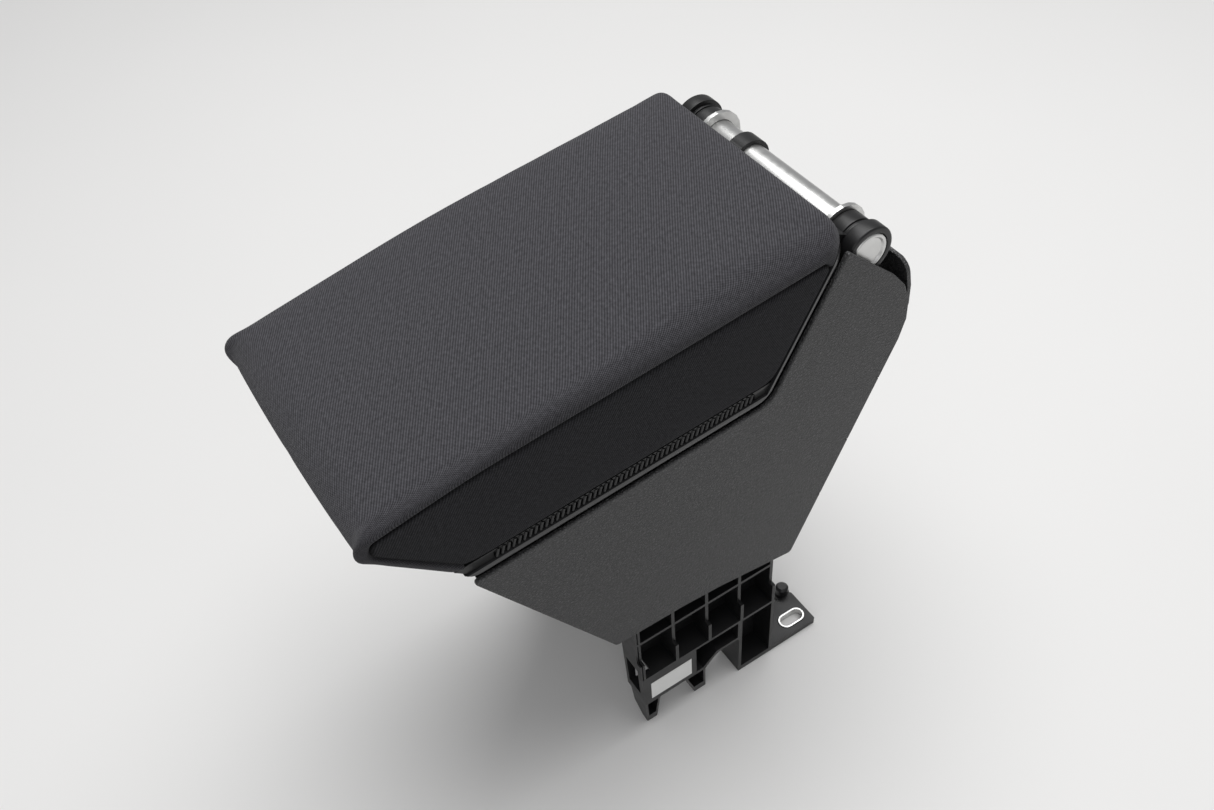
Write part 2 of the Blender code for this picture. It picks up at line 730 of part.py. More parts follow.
def cells():
    """Outlines of the pockets between the ribs and rails."""
    ribs = [LEG_REAR, *rib_places()]
    ends = [*rib_places(), LEG_FRONT_TOP[0] - RIB - 0.0012]
    made = []
    for start, end in zip(ribs, ends):
        made.append(box(start + RIB, end, LOWER_RAIL + RIB, UPPER_RAIL))
        slope = (LEG_FRONT_TOP[1] - LEG_TOP_REAR) / (LEG_FRONT_TOP[0] - LEG_REAR)
        tops = [LEG_TOP_REAR + slope * (f - LEG_REAR) - RIB for f in (start + RIB, end)]
        low = UPPER_RAIL + RIB
        made.append([(start + RIB, low), (end, low), (end, tops[1]), (start + RIB, tops[0])])
    made.append(box(LEG_REAR + RIB, BOX_FRONT - RIB, FLANGE_THICKNESS, LOWER_RAIL))
    rear, front = BOX_FRONT + RIB / 2, PANEL_REAR - RIB
    arch, belly = ARCH_HEIGHT + RIB, BELLY_HEIGHT + RIB
    made.append([
        (rear, arch), (ARCH_TURN + 0.0005, arch), (ARCH_FRONT + 0.002, belly),
        (front, belly), (front, LOWER_RAIL), (rear, LOWER_RAIL),
    ])
    return made


def prong_ends(root, tip, height):
    """Rear and front end of a prong at a height."""
    share = height / (BELLY_HEIGHT + RIB)
    return [low + (high - low) * share for high, low in zip(root, tip)]


def prong(name, root, tip, side):
    """Pointed foot: a block that narrows downwards, and more so below its shoulder."""
    shape = bmesh.new()
    outer = prong_ends(PRONG_ROOT_DEPTHS, PRONG_TIP_DEPTHS, PRONG_SHOULDER)[0]
    shoulder = (outer, PRONG_ROOT_DEPTHS[1])
    levels = ((0, PRONG_TIP_DEPTHS), (PRONG_SHOULDER, shoulder), (BELLY_HEIGHT + RIB, PRONG_ROOT_DEPTHS))
    for height, depths in levels:
        for forward in prong_ends(root, tip, height):
            for depth in depths:
                shape.verts.new(place(forward, height, side, depth))
    bmesh.ops.convex_hull(shape, input=shape.verts)
    bmesh.ops.recalc_face_normals(shape, faces=shape.faces)
    mesh = bpy.data.meshes.new(name)
    shape.to_mesh(mesh)
    shape.free()
    return add(name, mesh)


def prong_pocket(root, tip):
    """Outline of the hollow in a prong's outer face."""
    low, high = PRONG_POCKET_HEIGHTS
    below, above = prong_ends(root, tip, low), prong_ends(root, tip, high)
    return [
        (below[0] + PRONG_WALL, low), (below[1] - PRONG_WALL, low),
        (above[1] - PRONG_WALL, high), (above[0] + PRONG_WALL, high),
    ]


def make_frame(side, label):
    name = "frame_" + label
    frame = upright(name, [lower_leg_outline()], *at_depths(side, 0, FRAME_DEPTH), "black_plastic")
    kink = [(-LARGE, KINK_HEIGHTS[1]), (LARGE, KINK_HEIGHTS[1]), (LARGE, LARGE), (-LARGE, LARGE)]
    combine(frame, "DIFFERENCE", upright(name + "_recess", [kink], *at_depths(side, -GAP, RECESS)))
    web_corners = inset(cover_corners(), RIM_DROP + BIN_WALL + GAP + 0.0004 - PARTING_GAP)
    reach = at_depths(side, FRAME_DEPTH - WEB + JOIN, FRAME_DEPTH - JOIN)
    web = upright(name + "_web", [arcs(web_corners)], *reach)
    relief = circle(HINGE_AXIS, HINGE_RELIEF, 28)
    combine(web, "DIFFERENCE", upright(name + "_relief", [relief], *at_depths(side, 0, 2 * FRAME_DEPTH)))
    combine(frame, "UNION", web)
    for number, (forward, height) in enumerate(COVER_BOSSES, 1):
        start = place(forward, height, side, FRAME_DEPTH - WEB / 2)
        length = FRAME_DEPTH - WEB / 2 - COVER_THICKNESS - GAP
        boss = rod(f"{name}_boss_{number}", start, Vector((0, side, 0)), COVER_BOSS_RADIUS, length)
        combine(frame, "UNION", boss)
    for number, (forward, height) in enumerate(BRACKET_BOLTS, 1):
        start = place(forward, height, side, FRAME_DEPTH - WEB / 2)
        length = BARREL_DEPTHS[1] - FRAME_DEPTH + WEB / 2
        boss = rod(f"{name}_seat_{number}", start, Vector((0, -side, 0)), BOLT_HEAD_RADIUS + 0.001, length)
        hole = rod(f"{name}_seat_hole_{number}", place(forward, height, side, FRAME_DEPTH - WEB - GAP),
                   Vector((0, -side, 0)), BOLT_RADIUS + GAP, 0.020)
        combine(frame, "UNION", boss)
        combine(frame, "DIFFERENCE", hole)
    for number, (forward, height) in enumerate(BIN_SCREWS, 1):
        hole = rod(f"{name}_bin_hole_{number}", place(forward, height, side, FRAME_DEPTH - 2 * WEB),
                   Vector((0, -side, 0)), SCREW_RADIUS + GAP, 3 * WEB)
        combine(frame, "DIFFERENCE", hole)
    for number, (root, tip) in enumerate(zip(PRONG_ROOTS, PRONG_TIPS), 1):
        combine(frame, "UNION", prong(f"{name}_prong_{number}", root, tip, side))
    combine(frame, "UNION", flange(name + "_flange", side))
    combine(frame, "UNION", locator(name + "_locator", side))
    combine(frame, "DIFFERENCE", upright(name + "_cells", cells(), *at_depths(side, -GAP, FRAME_DEPTH - WEB)))
    pockets = [prong_pocket(root, tip) for root, tip in zip(PRONG_ROOTS, PRONG_TIPS)]
    reach = at_depths(side, -GAP, PRONG_POCKET_DEPTH)
    combine(frame, "DIFFERENCE", upright(name + "_prong_pockets", pockets, *reach))
    panel = [box(PANEL_REAR, LEG_FRONT_LOW[0] - 2 * RIB, BELLY_HEIGHT + RIB, LOWER_RAIL)]
    reach = at_depths(side, WEB, FRAME_DEPTH + GAP)
    combine(frame, "DIFFERENCE", upright(name + "_panel_back", panel, *reach))
    nook = [box(LEG_FRONT_LOW[0] - 3.5 * RIB, LARGE, LEG_FRONT_LOW[1] + 2 * RIB, KINK_HEIGHTS[0] - RIB)]
    combine(frame, "DIFFERENCE", upright(name + "_nook", nook, *at_depths(side, 1.5 * WEB, FRAME_DEPTH - WEB)))
    hole = slot(slot_centre(side), SLOT_LENGTH + 2 * GAP, SLOT_WIDTH + 2 * GAP)
    combine(frame, "DIFFERENCE", flat(name + "_slot", [hole], -GAP, 2 * FLANGE_THICKNESS))
    if side < 0:
        seat = label_outline(GAP)
        reach = at_depths(side, -GAP, LABEL_THICKNESS + GAP)
        combine(frame, "DIFFERENCE", upright("label_seat", [seat], *reach))


def slot_centre(side):
    return SLOT_CENTRE[0], side * (WIDTH / 2 - SLOT_CENTRE[1])


def flange(name, side):
    outer, inner = side * (WIDTH / 2 - JOIN), side * (WIDTH / 2 - FLANGE_WIDTH)
    corners = [(0, outer, 0.0015), (LEG_REAR + RIB / 2, outer, 0), (LEG_REAR + RIB / 2, inner, 0), (0, inner, 0.0015)]
    plate = flat(name, [arcs(corners)], 0, FLANGE_THICKNESS)
    centre = (LOCATOR[0], side * (WIDTH / 2 - LOCATOR[1]))
    lobe = flat(name + "_lobe", [circle(centre, LOCATOR_RADIUS + 0.001)], 0, FLANGE_THICKNESS)
    return combine(plate, "UNION", lobe)


def locator(name, side):
    centre = place(LOCATOR[0], 0.001, side, LOCATOR[1])
    height, radius = LOCATOR_HEIGHT - 0.001, LOCATOR_RADIUS
    profile = [(0, height), (radius - 0.0015, height), (radius, height - 0.0015), (radius, 0), (0, 0)]
    return turned(name, profile, centre, Vector((0, 0, 1)), None, 24)


def label_outline(room):
    low, high = LABEL_HEIGHTS
    front = LABEL_REAR + LABEL_LENGTH
    return box(LABEL_REAR - room, front + room, low - room, high + room)


def make_label():
    upright("label", [label_outline(0)], *at_depths(-1, 0, LABEL_THICKNESS), "label")


def make_sleeve(side, label):
    name = "slot_sleeve_" + label
    hole = slot(slot_centre(side), SLOT_LENGTH - 2 * SLEEVE_WALL, SLOT_WIDTH - 2 * SLEEVE_WALL)
    ring = slot(slot_centre(side), SLOT_LENGTH, SLOT_WIDTH)
    flat(name, [ring, hole], 0, FLANGE_THICKNESS + SLEEVE_PROUD, "steel")


def clip_notch(height, extra):
    """Outline along the side cover's rear edge, centred on a height."""
    d = along(COVER_REAR_BOTTOM, COVER_REAR_TOP)
    t = (height - COVER_REAR_BOTTOM[1]) / d[1]
    middle = (COVER_REAR_BOTTOM[0] + d[0] * t, height)
    reach = CLIP_LENGTH / 2 + extra
    depth = CLIP_NOTCH + extra
    proud = 0.001 if extra else 0.0004
    ends = [(-reach, proud), (reach, proud), (reach, -depth), (-reach, -depth)]
    return [(middle[0] + d[0] * a - d[1] * b, middle[1] + d[1] * a + d[0] * b) for a, b in ends]


def make_side_cover(side, label):
    name = "side_cover_" + label
    cover = upright(name, [arcs(cover_corners())], *at_depths(side, 0, COVER_THICKNESS), "grained_plastic")
    bevel(cover, COVER_EDGE_ROUNDING, 2)
    notches = [clip_notch(height, GAP) for height in CLIP_HEIGHTS]
    reach = at_depths(side, -GAP, 2 * COVER_THICKNESS)
    combine(cover, "DIFFERENCE", upright(name + "_notches", notches, *reach))


def make_rear_cover():
    outer = rear_cover_corners()
    bottom, shoulder, top = (corner[:2] for corner in outer)
    lines = [shifted((bottom, shoulder), -PANEL), shifted((shoulder, top), -PANEL)]
    inner = [(*lines[1][1], 0.0008), (*meet(*lines), REAR_COVER_RADIUS - PANEL), (*lines[0][0], 0)]
    outer[2] = (*top, 0.0008)
    half = WIDTH / 2 - COVER_THICKNESS - GAP
    cover = upright("rear_cover", [arcs(outer + inner)], -half, half, "grained_plastic")
    room = LARGE
    high = top[1] + GAP
    ends = [(-half, -room, 0), (half, -room, 0), (half, high, REAR_COVER_CORNER), (-half, high, REAR_COVER_CORNER)]
    turn = Matrix(((0, 0, 1, ORIGIN), (1, 0, 0, 0), (0, 1, 0, 0), (0, 0, 0, 1)))
    combine(cover, "INTERSECT", prism("rear_cover_ends", [arcs(ends)], -room, room, turn))
    tabs = [clip_notch(height, 0) for height in CLIP_HEIGHTS]
    for side, label in ((-1, "left"), (1, "right")):
        for number, tab in enumerate(tabs, 1):
            reach = at_depths(side, 0.0006, COVER_THICKNESS + 2 * GAP)
            combine(cover, "UNION", upright(f"tab_{label}_{number}", [tab], *reach))


def make_front_cover():
    line = (COVER_FRONT_BOTTOM, COVER_FRONT_TOP)
    outer, inner = shifted(line, FRONT_COVER_RECESS), shifted(line, FRONT_COVER_RECESS + PANEL)
    rim = level_line(-RIM_DROP - BIN_WALL - GAP)
    floor = (COVER_REAR_BOTTOM, COVER_FRONT_BOTTOM)
    outline = [meet(outer, floor), meet(outer, rim), meet(inner, rim), meet(inner, floor)]
    half = WIDTH / 2 - COVER_THICKNESS - GAP
    cover = upright("front_cover", [outline], -half, half, "grained_plastic")
    d = along(*line)
    for side in (-1, 1):
        for number, reach in enumerate((0.030, 0.110), 1):
            start = shifted(line, FRONT_COVER_RECESS + PANEL / 2)[0]
            end = shifted(line, BIN_FRONT_OFFSET - GAP)[0]
            ends = [(p[0] + d[0] * t, p[1] + d[1] * t) for p, t in
                    ((start, reach), (end, reach), (end, reach + 0.008), (start, reach + 0.008))]
            rib = upright(f"front_rib_{side}_{number}", [ends], *at_depths(side, 0.036, 0.040))
            combine(cover, "UNION", rib)


def bin_outline(distance):
    """Side outline of the tub, inset by a wall; the top runs along the rim."""
    front = shifted((COVER_FRONT_BOTTOM, COVER_FRONT_TOP), BIN_FRONT_OFFSET + distance)
    floor = shifted((COVER_REAR_BOTTOM, COVER_FRONT_BOTTOM), BIN_FLOOR_OFFSET + distance)
    rear = ((BIN_REAR + distance, 0), (BIN_REAR + distance, 1))
    top = level_line(-RIM_DROP + (0.01 if distance else -JOIN))
    radius = BIN_RADIUS - distance
    low = [(*meet(rear, floor), radius), (*meet(floor, front), radius)]
    return [*low, (*meet(front, top), 0), (*meet(top, rear), 0)]


def make_bin():
    half = WIDTH / 2 - BIN_DEPTH
    tub = upright("bin", [arcs(bin_outline(0))], -half, half, "black_plastic")
    rim_half = WIDTH / 2 - COVER_THICKNESS - GAP
    front = shifted((COVER_FRONT_BOTTOM, COVER_FRONT_TOP), FRONT_COVER_RECESS)
    high, low = level_line(-RIM_DROP), level_line(-RIM_DROP - BIN_WALL)
    rear = ((BIN_RIM_REAR, 0), (BIN_RIM_REAR, 1))
    outline = [meet(rear, low), meet(front, low), meet(front, high), meet(rear, high)]
    rim = upright("bin_rim", [outline], -rim_half, rim_half)
    combine(tub, "UNION", rim)
    for side in (-1, 1):
        for number, (forward, height) in enumerate(BIN_SCREWS, 1):
            start = place(forward, height, side, FRAME_DEPTH + GAP)
            reach = BIN_DEPTH - FRAME_DEPTH
            pad = rod(f"bin_pad_{side}_{number}", start, Vector((0, -side, 0)), BIN_PAD_RADIUS, reach)
            combine(tub, "UNION", pad)
    inner = WIDTH / 2 - BIN_DEPTH - BIN_WALL
    combine(tub, "DIFFERENCE", upright("bin_hollow", [arcs(bin_outline(BIN_WALL))], -inner, inner))
    for side in (-1, 1):
        for number, (forward, height) in enumerate(BIN_SCREWS, 1):
            start = place(forward, height, side, FRAME_DEPTH)
            length = BIN_DEPTH + BIN_WALL - FRAME_DEPTH - 0.0008
            inwards = Vector((0, -side, 0))
            hole = rod(f"bin_pad_hole_{side}_{number}", start, inwards, SCREW_RADIUS + GAP, length)
            combine(tub, "DIFFERENCE", hole)


def make_base_screws():
    number = 0
    for side in (-1, 1):
        for forward, height in BIN_SCREWS:
            number += 1
            seat = place(forward, height, side, FRAME_DEPTH - WEB - GAP)
            length = BIN_DEPTH + BIN_WALL - 0.0008 - FRAME_DEPTH + WEB
            screw(f"bin_screw_{number}", seat, Vector((0, side, 0)), length)
    number = 0
    for side in (-1, 1):
        for forward, height in BRACKET_BOLTS:
            number += 1
            seat = place(forward, height, side, BARREL_DEPTHS[1] + 2 * GAP + BRACKET_SHEET)
            length = BRACKET_SHEET + BARREL_DEPTHS[1] - FRAME_DEPTH + WEB / 2
            inwards = Vector((0, -side, 0))
            screw(f"bracket_bolt_{number}", seat, inwards, length, BOLT_RADIUS, BOLT_HEAD_RADIUS, BOLT_HEAD)


def bracket_arm_outline():
    x, z = HINGE_AXIS
    eye = BRACKET_EYE_RADIUS
    low, high = BRACKET_WEB_HEIGHTS
    rear = BRACKET_FRONT - 0.026
    return [
        (x + eye, z + eye, eye * 0.98), (x - eye, z + eye, eye * 0.98), (x - eye, z - eye, eye * 0.8),
        (rear, low - GAP, 0.004), (BRACKET_FRONT + GAP, low - GAP, 0.003),
        (BRACKET_FRONT + GAP, high + 0.006, 0.008), (x + eye, z - eye * 0.4, 0.004),
    ]


def make_hinge_bracket():
    shallow = BARREL_DEPTHS[1] + GAP
    low, high = BRACKET_WEB_HEIGHTS
    half = WIDTH / 2 - shallow
    web = box(BRACKET_FRONT - BRACKET_SHEET, BRACKET_FRONT, low, high)
    bracket = upright("hinge_bracket", [web], -half + BRACKET_SHEET / 2, half - BRACKET_SHEET / 2, "steel")
    holes = [circle(HINGE_AXIS, TUBE_RADIUS + GAP, 28)]
    holes += [circle(bolt, BOLT_RADIUS + GAP, 16) for bolt in BRACKET_BOLTS]
    for side, label in ((-1, "left"), (1, "right")):
        reach = at_depths(side, shallow, shallow + BRACKET_SHEET)
        arm = upright(f"bracket_arm_{label}", [arcs(bracket_arm_outline()), *holes], *reach)
        combine(bracket, "UNION", arm)


def make_hinge_tube():
    length = WIDTH - 2 * TUBE_END_DEPTH
    outer, inner = TUBE_RADIUS, TUBE_RADIUS - TUBE_WALL
    profile = [(inner, length), (outer - 0.0004, length), (outer, length - 0.0004), (outer, 0.0004)]
    profile += [(outer - 0.0004, 0), (inner, 0), (inner, length)]
    centre = place(*HINGE_AXIS, -1, TUBE_END_DEPTH)
    turned("hinge_tube", profile, centre, Vector((0, 1, 0)), "steel", 36)


def make_tube_cap(side, label):
    """Bright disc with a rolled edge and a plug in the tube's end."""
    plug = TUBE_RADIUS - TUBE_WALL - GAP
    back = TUBE_END_DEPTH - GAP
    top, edge = CAP_THICKNESS, CAP_RADIUS
    profile = [(0, top - 0.0009), (edge * 0.77, top - 0.0009), (edge * 0.83, top)]
    profile += [(edge * 0.93, top), (edge, top - 0.0009), (edge, 0)]
    profile += [(plug, 0), (plug, -0.004), (0, -0.004)]
    turned("tube_cap_" + label, profile, place(*HINGE_AXIS, side, back), Vector((0, side, 0)), "steel", 24)


def make_bump_stop(side, label):
    length = math.dist(LID_BEND, LIP_FRONT)
    base = on_pan(length - STOP_INSET - STOP_RADIUS, -RIM_DROP + GAP)
    height = RIM_DROP - 2 * GAP
    edge = STOP_EDGE
    profile = [(0, height), (STOP_RADIUS - edge, height), (STOP_RADIUS, height - edge), (STOP_RADIUS, 0), (0, 0)]
    turned("bump_stop_" + label, profile, place(*base, side, STOP_INSET), pan_up(), "rubber", 20)


def main():
    make_fabric_cover()
    make_foam_core()
    make_lid_frame()
    make_lid_pan()
    list(make_lid_screws())
    make_lid_hinges()
    swinging = list(PARTS.objects)
    pivot = bpy.data.objects.new("lid_pivot", None)
    pivot.location = place(*HINGE_AXIS, 1, WIDTH / 2)
    PARTS.objects.link(pivot)
    bpy.context.view_layer.update()
    for piece in swinging:
        piece.parent = pivot
        piece.matrix_parent_inverse = pivot.matrix_world.inverted()
    for side, label in ((-1, "left"), (1, "right")):
        make_frame(side, label)
        make_side_cover(side, label)
        make_sleeve(side, label)
        make_tube_cap(side, label)
        make_bump_stop(side, label)
    make_rear_cover()
    make_front_cover()
    make_bin()
    make_hinge_bracket()
    make_hinge_tube()
    make_base_screws()
    make_label()


for thing in list(bpy.data.objects):
    bpy.data.objects.remove(thing)
PARTS = bpy.data.collections.new("car_armrest")
CUTTERS = bpy.data.collections.new("cutters")
for group in (PARTS, CUTTERS):
    bpy.context.scene.collection.children.link(group)
FRONT_END = max(point[0] for point in arcs(lid_corners()))
REAR_END = min(point[0] for point in arcs(rear_cover_corners()))
ORIGIN = (FRONT_END + REAR_END) / 2
main()
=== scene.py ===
"""Car armrest on a pale studio floor: padded fabric lid, grained base, ribbed feet and a steel hinge."""

import json
import math

import bmesh
import bpy
from mathutils import Matrix, Vector


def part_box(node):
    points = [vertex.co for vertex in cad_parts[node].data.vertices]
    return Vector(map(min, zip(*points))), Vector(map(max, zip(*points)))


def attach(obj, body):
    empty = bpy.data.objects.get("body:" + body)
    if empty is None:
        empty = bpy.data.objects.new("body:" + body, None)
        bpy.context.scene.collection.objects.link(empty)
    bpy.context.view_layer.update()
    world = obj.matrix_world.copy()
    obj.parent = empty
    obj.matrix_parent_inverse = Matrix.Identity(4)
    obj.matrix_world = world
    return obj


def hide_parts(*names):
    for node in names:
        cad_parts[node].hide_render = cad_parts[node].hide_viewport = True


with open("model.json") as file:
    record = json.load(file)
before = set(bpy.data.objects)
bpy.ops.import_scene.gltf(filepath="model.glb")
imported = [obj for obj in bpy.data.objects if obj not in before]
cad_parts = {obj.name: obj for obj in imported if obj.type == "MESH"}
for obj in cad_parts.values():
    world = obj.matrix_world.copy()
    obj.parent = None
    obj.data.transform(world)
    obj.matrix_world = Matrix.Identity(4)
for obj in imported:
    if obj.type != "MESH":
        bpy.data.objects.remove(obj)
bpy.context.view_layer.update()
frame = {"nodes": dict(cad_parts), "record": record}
NODES = frame["nodes"]
LID_NODES = set(frame["record"]["behaviour"]["bodies"]["lid"])

# Places are (forward, height) pairs in metres, and forward runs from the hinge towards the nose
WIDTH = 0.160
HINGE = (-0.013, 0.3235)
ORIGIN = sum(corner.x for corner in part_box("hinge_tube")) / 2 + HINGE[0]

# Lid, seen from the side
TOP_REAR = (0.009, 0.3556)
CREST = (0.075, 0.3494)
NOSE = (0.2939, 0.3120)
LIP_FRONT = (0.229, 0.247)
BEND = (0.051, 0.259)
REAR_LIP = (0.007, 0.338)
LEVEL_HEM = 0.0133
STEEP_HEM = 0.0053
HEM_BEND_RADIUS = 0.012

# Fabric pad
REAR_ROLL = 0.0170
FRONT_ROLL = 0.0060
REAR_EDGE_RADIUS = 0.0050
CREST_RADIUS = 0.40
NOSE_RADIUS = 0.0140
SEAM_NOSE_RADIUS = 0.0060
NOSE_BLEND = 0.008
NOSE_BLEND_POWER = 2.5
FRONT_PLAN_RADIUS = 0.0050
REAR_PLAN_RADIUS = 0.0090
FRONT_BOW = 0.0015
SEAM_DEPTH = 0.0022
SEAM_SET = 0.0015
# Width of the painted shade that darkens the fabric along its seams
SEAM_SHADE = 0.0016
SEAM_SHOULDER = (0.30, 0.55)
HELD_WIDTH = 0.0014
HEM_ROLL = 0.0020
PAD_STEP = 0.0035
PAD_PARTS = (5, 68, 9, 16)
ROLL_ANGLES = (0, 5, 10, 15, 21, 28, 36, 45, 55, 66, 78, 90)
MEASURED_STATION = 30
SIDE_SHARES = (0, 0.03, 0.07, 0.12, 0.18, 0.26, 0.36, 0.46, 0.56, 0.66, 0.76, 0.84, 0.90, 0.94, 0.975, 1)
REAR_EDGE_STEPS = 12
CREST_STEPS = 8
HEM_BEND_STEPS = 10
PUFF_LIMIT = 0.0016
PUFF_FRAMES = 12
PUFF_PRESSURE = 4.0
CLOTH_STIFFNESS = 25
CLOTH_BENDING = 2

# Lid shell and its toothed band
LIP_RADIUS = 0.009
LIP_HEIGHT = 0.0065
TOOTH_BAND = 0.0065
TOOTH_PITCH = 0.0031
TOOTH_GROOVE = 0.0014
TOOTH_SLANT = 0.30
TOOTH_RADIUS = 0.0009
TOOTH_SIDES = 10
TOOTH_END_ROOM = 0.0010
TOOTH_SINK = 0.0002
BAND_RECESS = 0.0012
SMOOTH_FRONT = 0.012

# Hinge
TUBE_RADIUS = 0.0105
TUBE_WALL = 0.0015
TUBE_END_DEPTH = 0.0079
TUBE_GAP = 0.0003
TUBE_EDGE = 0.0004
TUBE_STEPS = 96
BARREL_RADIUS = 0.0130
BARREL_RIM_RADIUS = 0.0150
BARREL_COLLAR = 0.0034
BARREL_GROOVE = 0.0010
BARREL_TUCK = 0.0003
BARREL_DEPTHS = (0.0082, 0.0260)
RIM_LENGTH = 0.0048
RIM_EDGE = 0.0012
RING_COUNT = 2
RING_START = 0.0050
RING_PITCH = 0.0026
RING_LAND = 0.0012
GROOVE_WIDTH = 0.0010
GROOVE_SLOPE = 0.0002
BORE_EDGE = 0.0003
CUP_EDGE = 0.0004
BARREL_EDGE = 0.0006
CAP_RADIUS = 0.0112
CAP_THICKNESS = 0.0030
CAP_EDGE = 0.0011
CAP_DISH = 0.0011
CAP_DISH_SHARES = (0.74, 0.84)
CAP_DISH_EDGE = 0.0006
CAP_PLUG_LENGTH = 0.004
CAP_PLUG_EDGE = 0.0008
AXIS_RADIUS = 0.00001
ROUND_STEPS = 72

# Surfaces: tones are factors on the base colour
NOISE_RANGE = (0.3, 0.7)
FINE_DETAIL = 3.0
GLOSS_PATCH_SHARE = 0.6
GLOSS_RANGE = (0.9, 1.12)
WEAVE_PITCH = 0.0013
WEAVE_TURN = 2.55
WEAVE_BANDS = (("X", WEAVE_PITCH, 0.6), ("Y", WEAVE_PITCH * 0.6, 0.4))
WEAVE_WANDER_SCALE = 1.5
WEAVE_HEIGHT = 0.00022
WEFT_SHARE = 0.45
RIB_TONES = (0.40, 1.60)
THREAD_PATCH = 0.0022
THREAD_TONES = (0.76, 1.24)
# Painted shade: share of the fabric colour that is left right at a seam
SEAM_SHADE_TONE = 0.25
CLOTH_ROUGHNESS = 0.92
CLOTH_SPECULAR = 0.12
SHEEN_ROUGHNESS = 0.45
GRAIN_SIZE = 0.0017
GRAIN_HEIGHT = 0.00030
GRAIN_PATCH = 0.0020
GRAIN_TONES = (0.66, 1.34)
CREASE_WIDTH = 0.30
CREASE_TONES = (0.55, 1.12)

# Meshes
MERGE_DISTANCE = 2e-6
RING_MERGE_DISTANCE = 1e-6
NO_AREA = 1e-12
FLAT_ANGLE = 0.6
SHARP_ANGLE = 35
CAP_SHARP_ANGLE = 50
TOOTH_SHARP_ANGLE = 40

# Camera, at the photograph's place
CAMERA_PLACE = (ORIGIN - 0.3274, -0.4023, 0.7200)
CAMERA_RIGHT = (0.8360, -0.5449, -0.0642)
CAMERA_UP = (0.4388, 0.5937, 0.6745)
CAMERA_LOOK = (0.3294, 0.5921, -0.7355)
CAMERA_LENS = 35.34
CAMERA_SENSOR = 36
CAMERA_NEAR = 0.01

# Studio: each lamp has its place, target, size and power
WORLD_COLOUR = (0.96, 0.965, 0.98, 1)
WORLD_STRENGTH = 0.38
FLOOR_COLOUR = (0.79, 0.785, 0.775)
FLOOR_SIZE = 12
FLOOR_DROP = 0.0005
KEY_LAMP = ((0.35, 0.25, 1.9), (0, 0, 0.2), (1.6, 1.6), 32)
FILL_LAMP = ((-0.9, -1.3, 1.1), (0, 0, 0.2), (1.4, 1.0), 4)


# Outlines

def along(p, q):
    length = math.dist(p, q)
    return (q[0] - p[0]) / length, (q[1] - p[1]) / length


def shifted(line, distance):
    """The line through two points, moved to its left."""
    p, q = line
    d = along(p, q)
    return tuple((x - d[1] * distance, y + d[0] * distance) for x, y in (p, q))


def meet(first, second):
    (ax, ay), (bx, by) = first
    (cx, cy), (dx, dy) = second
    across = (bx - ax) * (dy - cy) - (by - ay) * (dx - cx)
    t = ((cx - ax) * (dy - cy) - (cy - ay) * (dx - cx)) / across
    return ax + t * (bx - ax), ay + t * (by - ay)


def rounded(before, corner, after, radius, count):
    """Points of the arc that rounds one corner."""
    back, ahead = along(corner, before), along(corner, after)
    half = math.acos(back[0] * ahead[0] + back[1] * ahead[1]) / 2
    middle = along((0, 0), (back[0] + ahead[0], back[1] + ahead[1]))
    away = radius / math.sin(half)
    centre = (corner[0] + middle[0] * away, corner[1] + middle[1] * away)
    reach = radius / math.tan(half)
    start = math.atan2(corner[1] + back[1] * reach - centre[1], corner[0] + back[0] * reach - centre[0])
    turn = math.pi - 2 * half
    if back[0] * ahead[1] - back[1] * ahead[0] > 0:
        turn = -turn
    angles = [start + turn * k / count for k in range(count + 1)]
    return [(centre[0] + radius * math.cos(a), centre[1] + radius * math.sin(a)) for a in angles]


def spread(p, q, count):
    """Evenly spaced points from p to q, without q."""
    return [(p[0] + (q[0] - p[0]) * k / count, p[1] + (q[1] - p[1]) * k / count) for k in range(count)]


def mixed(p, q, t):
    return tuple(a + (b - a) * t for a, b in zip(p, q))


def resampled(points, count):
    """The same path as count + 1 evenly spaced points."""
    runs = [0]
    for p, q in zip(points, points[1:]):
        runs.append(runs[-1] + math.dist(p, q))
    made = []
    for k in range(count + 1):
        run = runs[-1] * k / count
        i = min(max(i for i, r in enumerate(runs) if r <= run + 1e-12), len(points) - 2)
        made.append(mixed(points[i], points[i + 1], (run - runs[i]) / (runs[i + 1] - runs[i])))
    return made


def eased(radius, depth):
    """How far a rounded edge has drawn back at a depth under the side face."""
    rest = max(radius - depth, 0)
    return radius - math.sqrt(radius * radius - rest * rest)


def gap_to(path, point):
    """Shortest distance from a point to a path."""
    best = 1.0
    for (ax, ay), (bx, by) in zip(path, path[1:]):
        length = (bx - ax) ** 2 + (by - ay) ** 2
        t = ((point[0] - ax) * (bx - ax) + (point[1] - ay) * (by - ay)) / length if length else 0
        t = min(max(t, 0), 1)
        best = min(best, math.dist(point, (ax + (bx - ax) * t, ay + (by - ay) * t)))
    return best


def place(forward, height, side, depth):
    return Vector((ORIGIN - forward, side * (WIDTH / 2 - depth), height))


# Camera, floor and lamps

def make_camera():
    data = bpy.data.cameras.new("camera")
    data.sensor_width = CAMERA_SENSOR
    data.lens = CAMERA_LENS
    data.clip_start = CAMERA_NEAR
    camera = bpy.data.objects.new("camera", data)
    bpy.context.scene.collection.objects.link(camera)
    rows = [(r, u, -k) for r, u, k in zip(CAMERA_RIGHT, CAMERA_UP, CAMERA_LOOK)]
    turn = Matrix(rows).to_quaternion().to_matrix().to_4x4()
    camera.matrix_world = Matrix.Translation(CAMERA_PLACE) @ turn
    bpy.context.scene.camera = camera


def area_lamp(name, where, target, size, power):
    data = bpy.data.lights.new(name, "AREA")
    data.shape = "RECTANGLE"
    data.size, data.size_y = size
    data.energy = power
    lamp = bpy.data.objects.new(name, data)
    bpy.context.scene.collection.objects.link(lamp)
    lamp.location = where
    lamp.rotation_mode = "QUATERNION"
    lamp.rotation_quaternion = (Vector(target) - Vector(where)).to_track_quat("-Z", "Y")


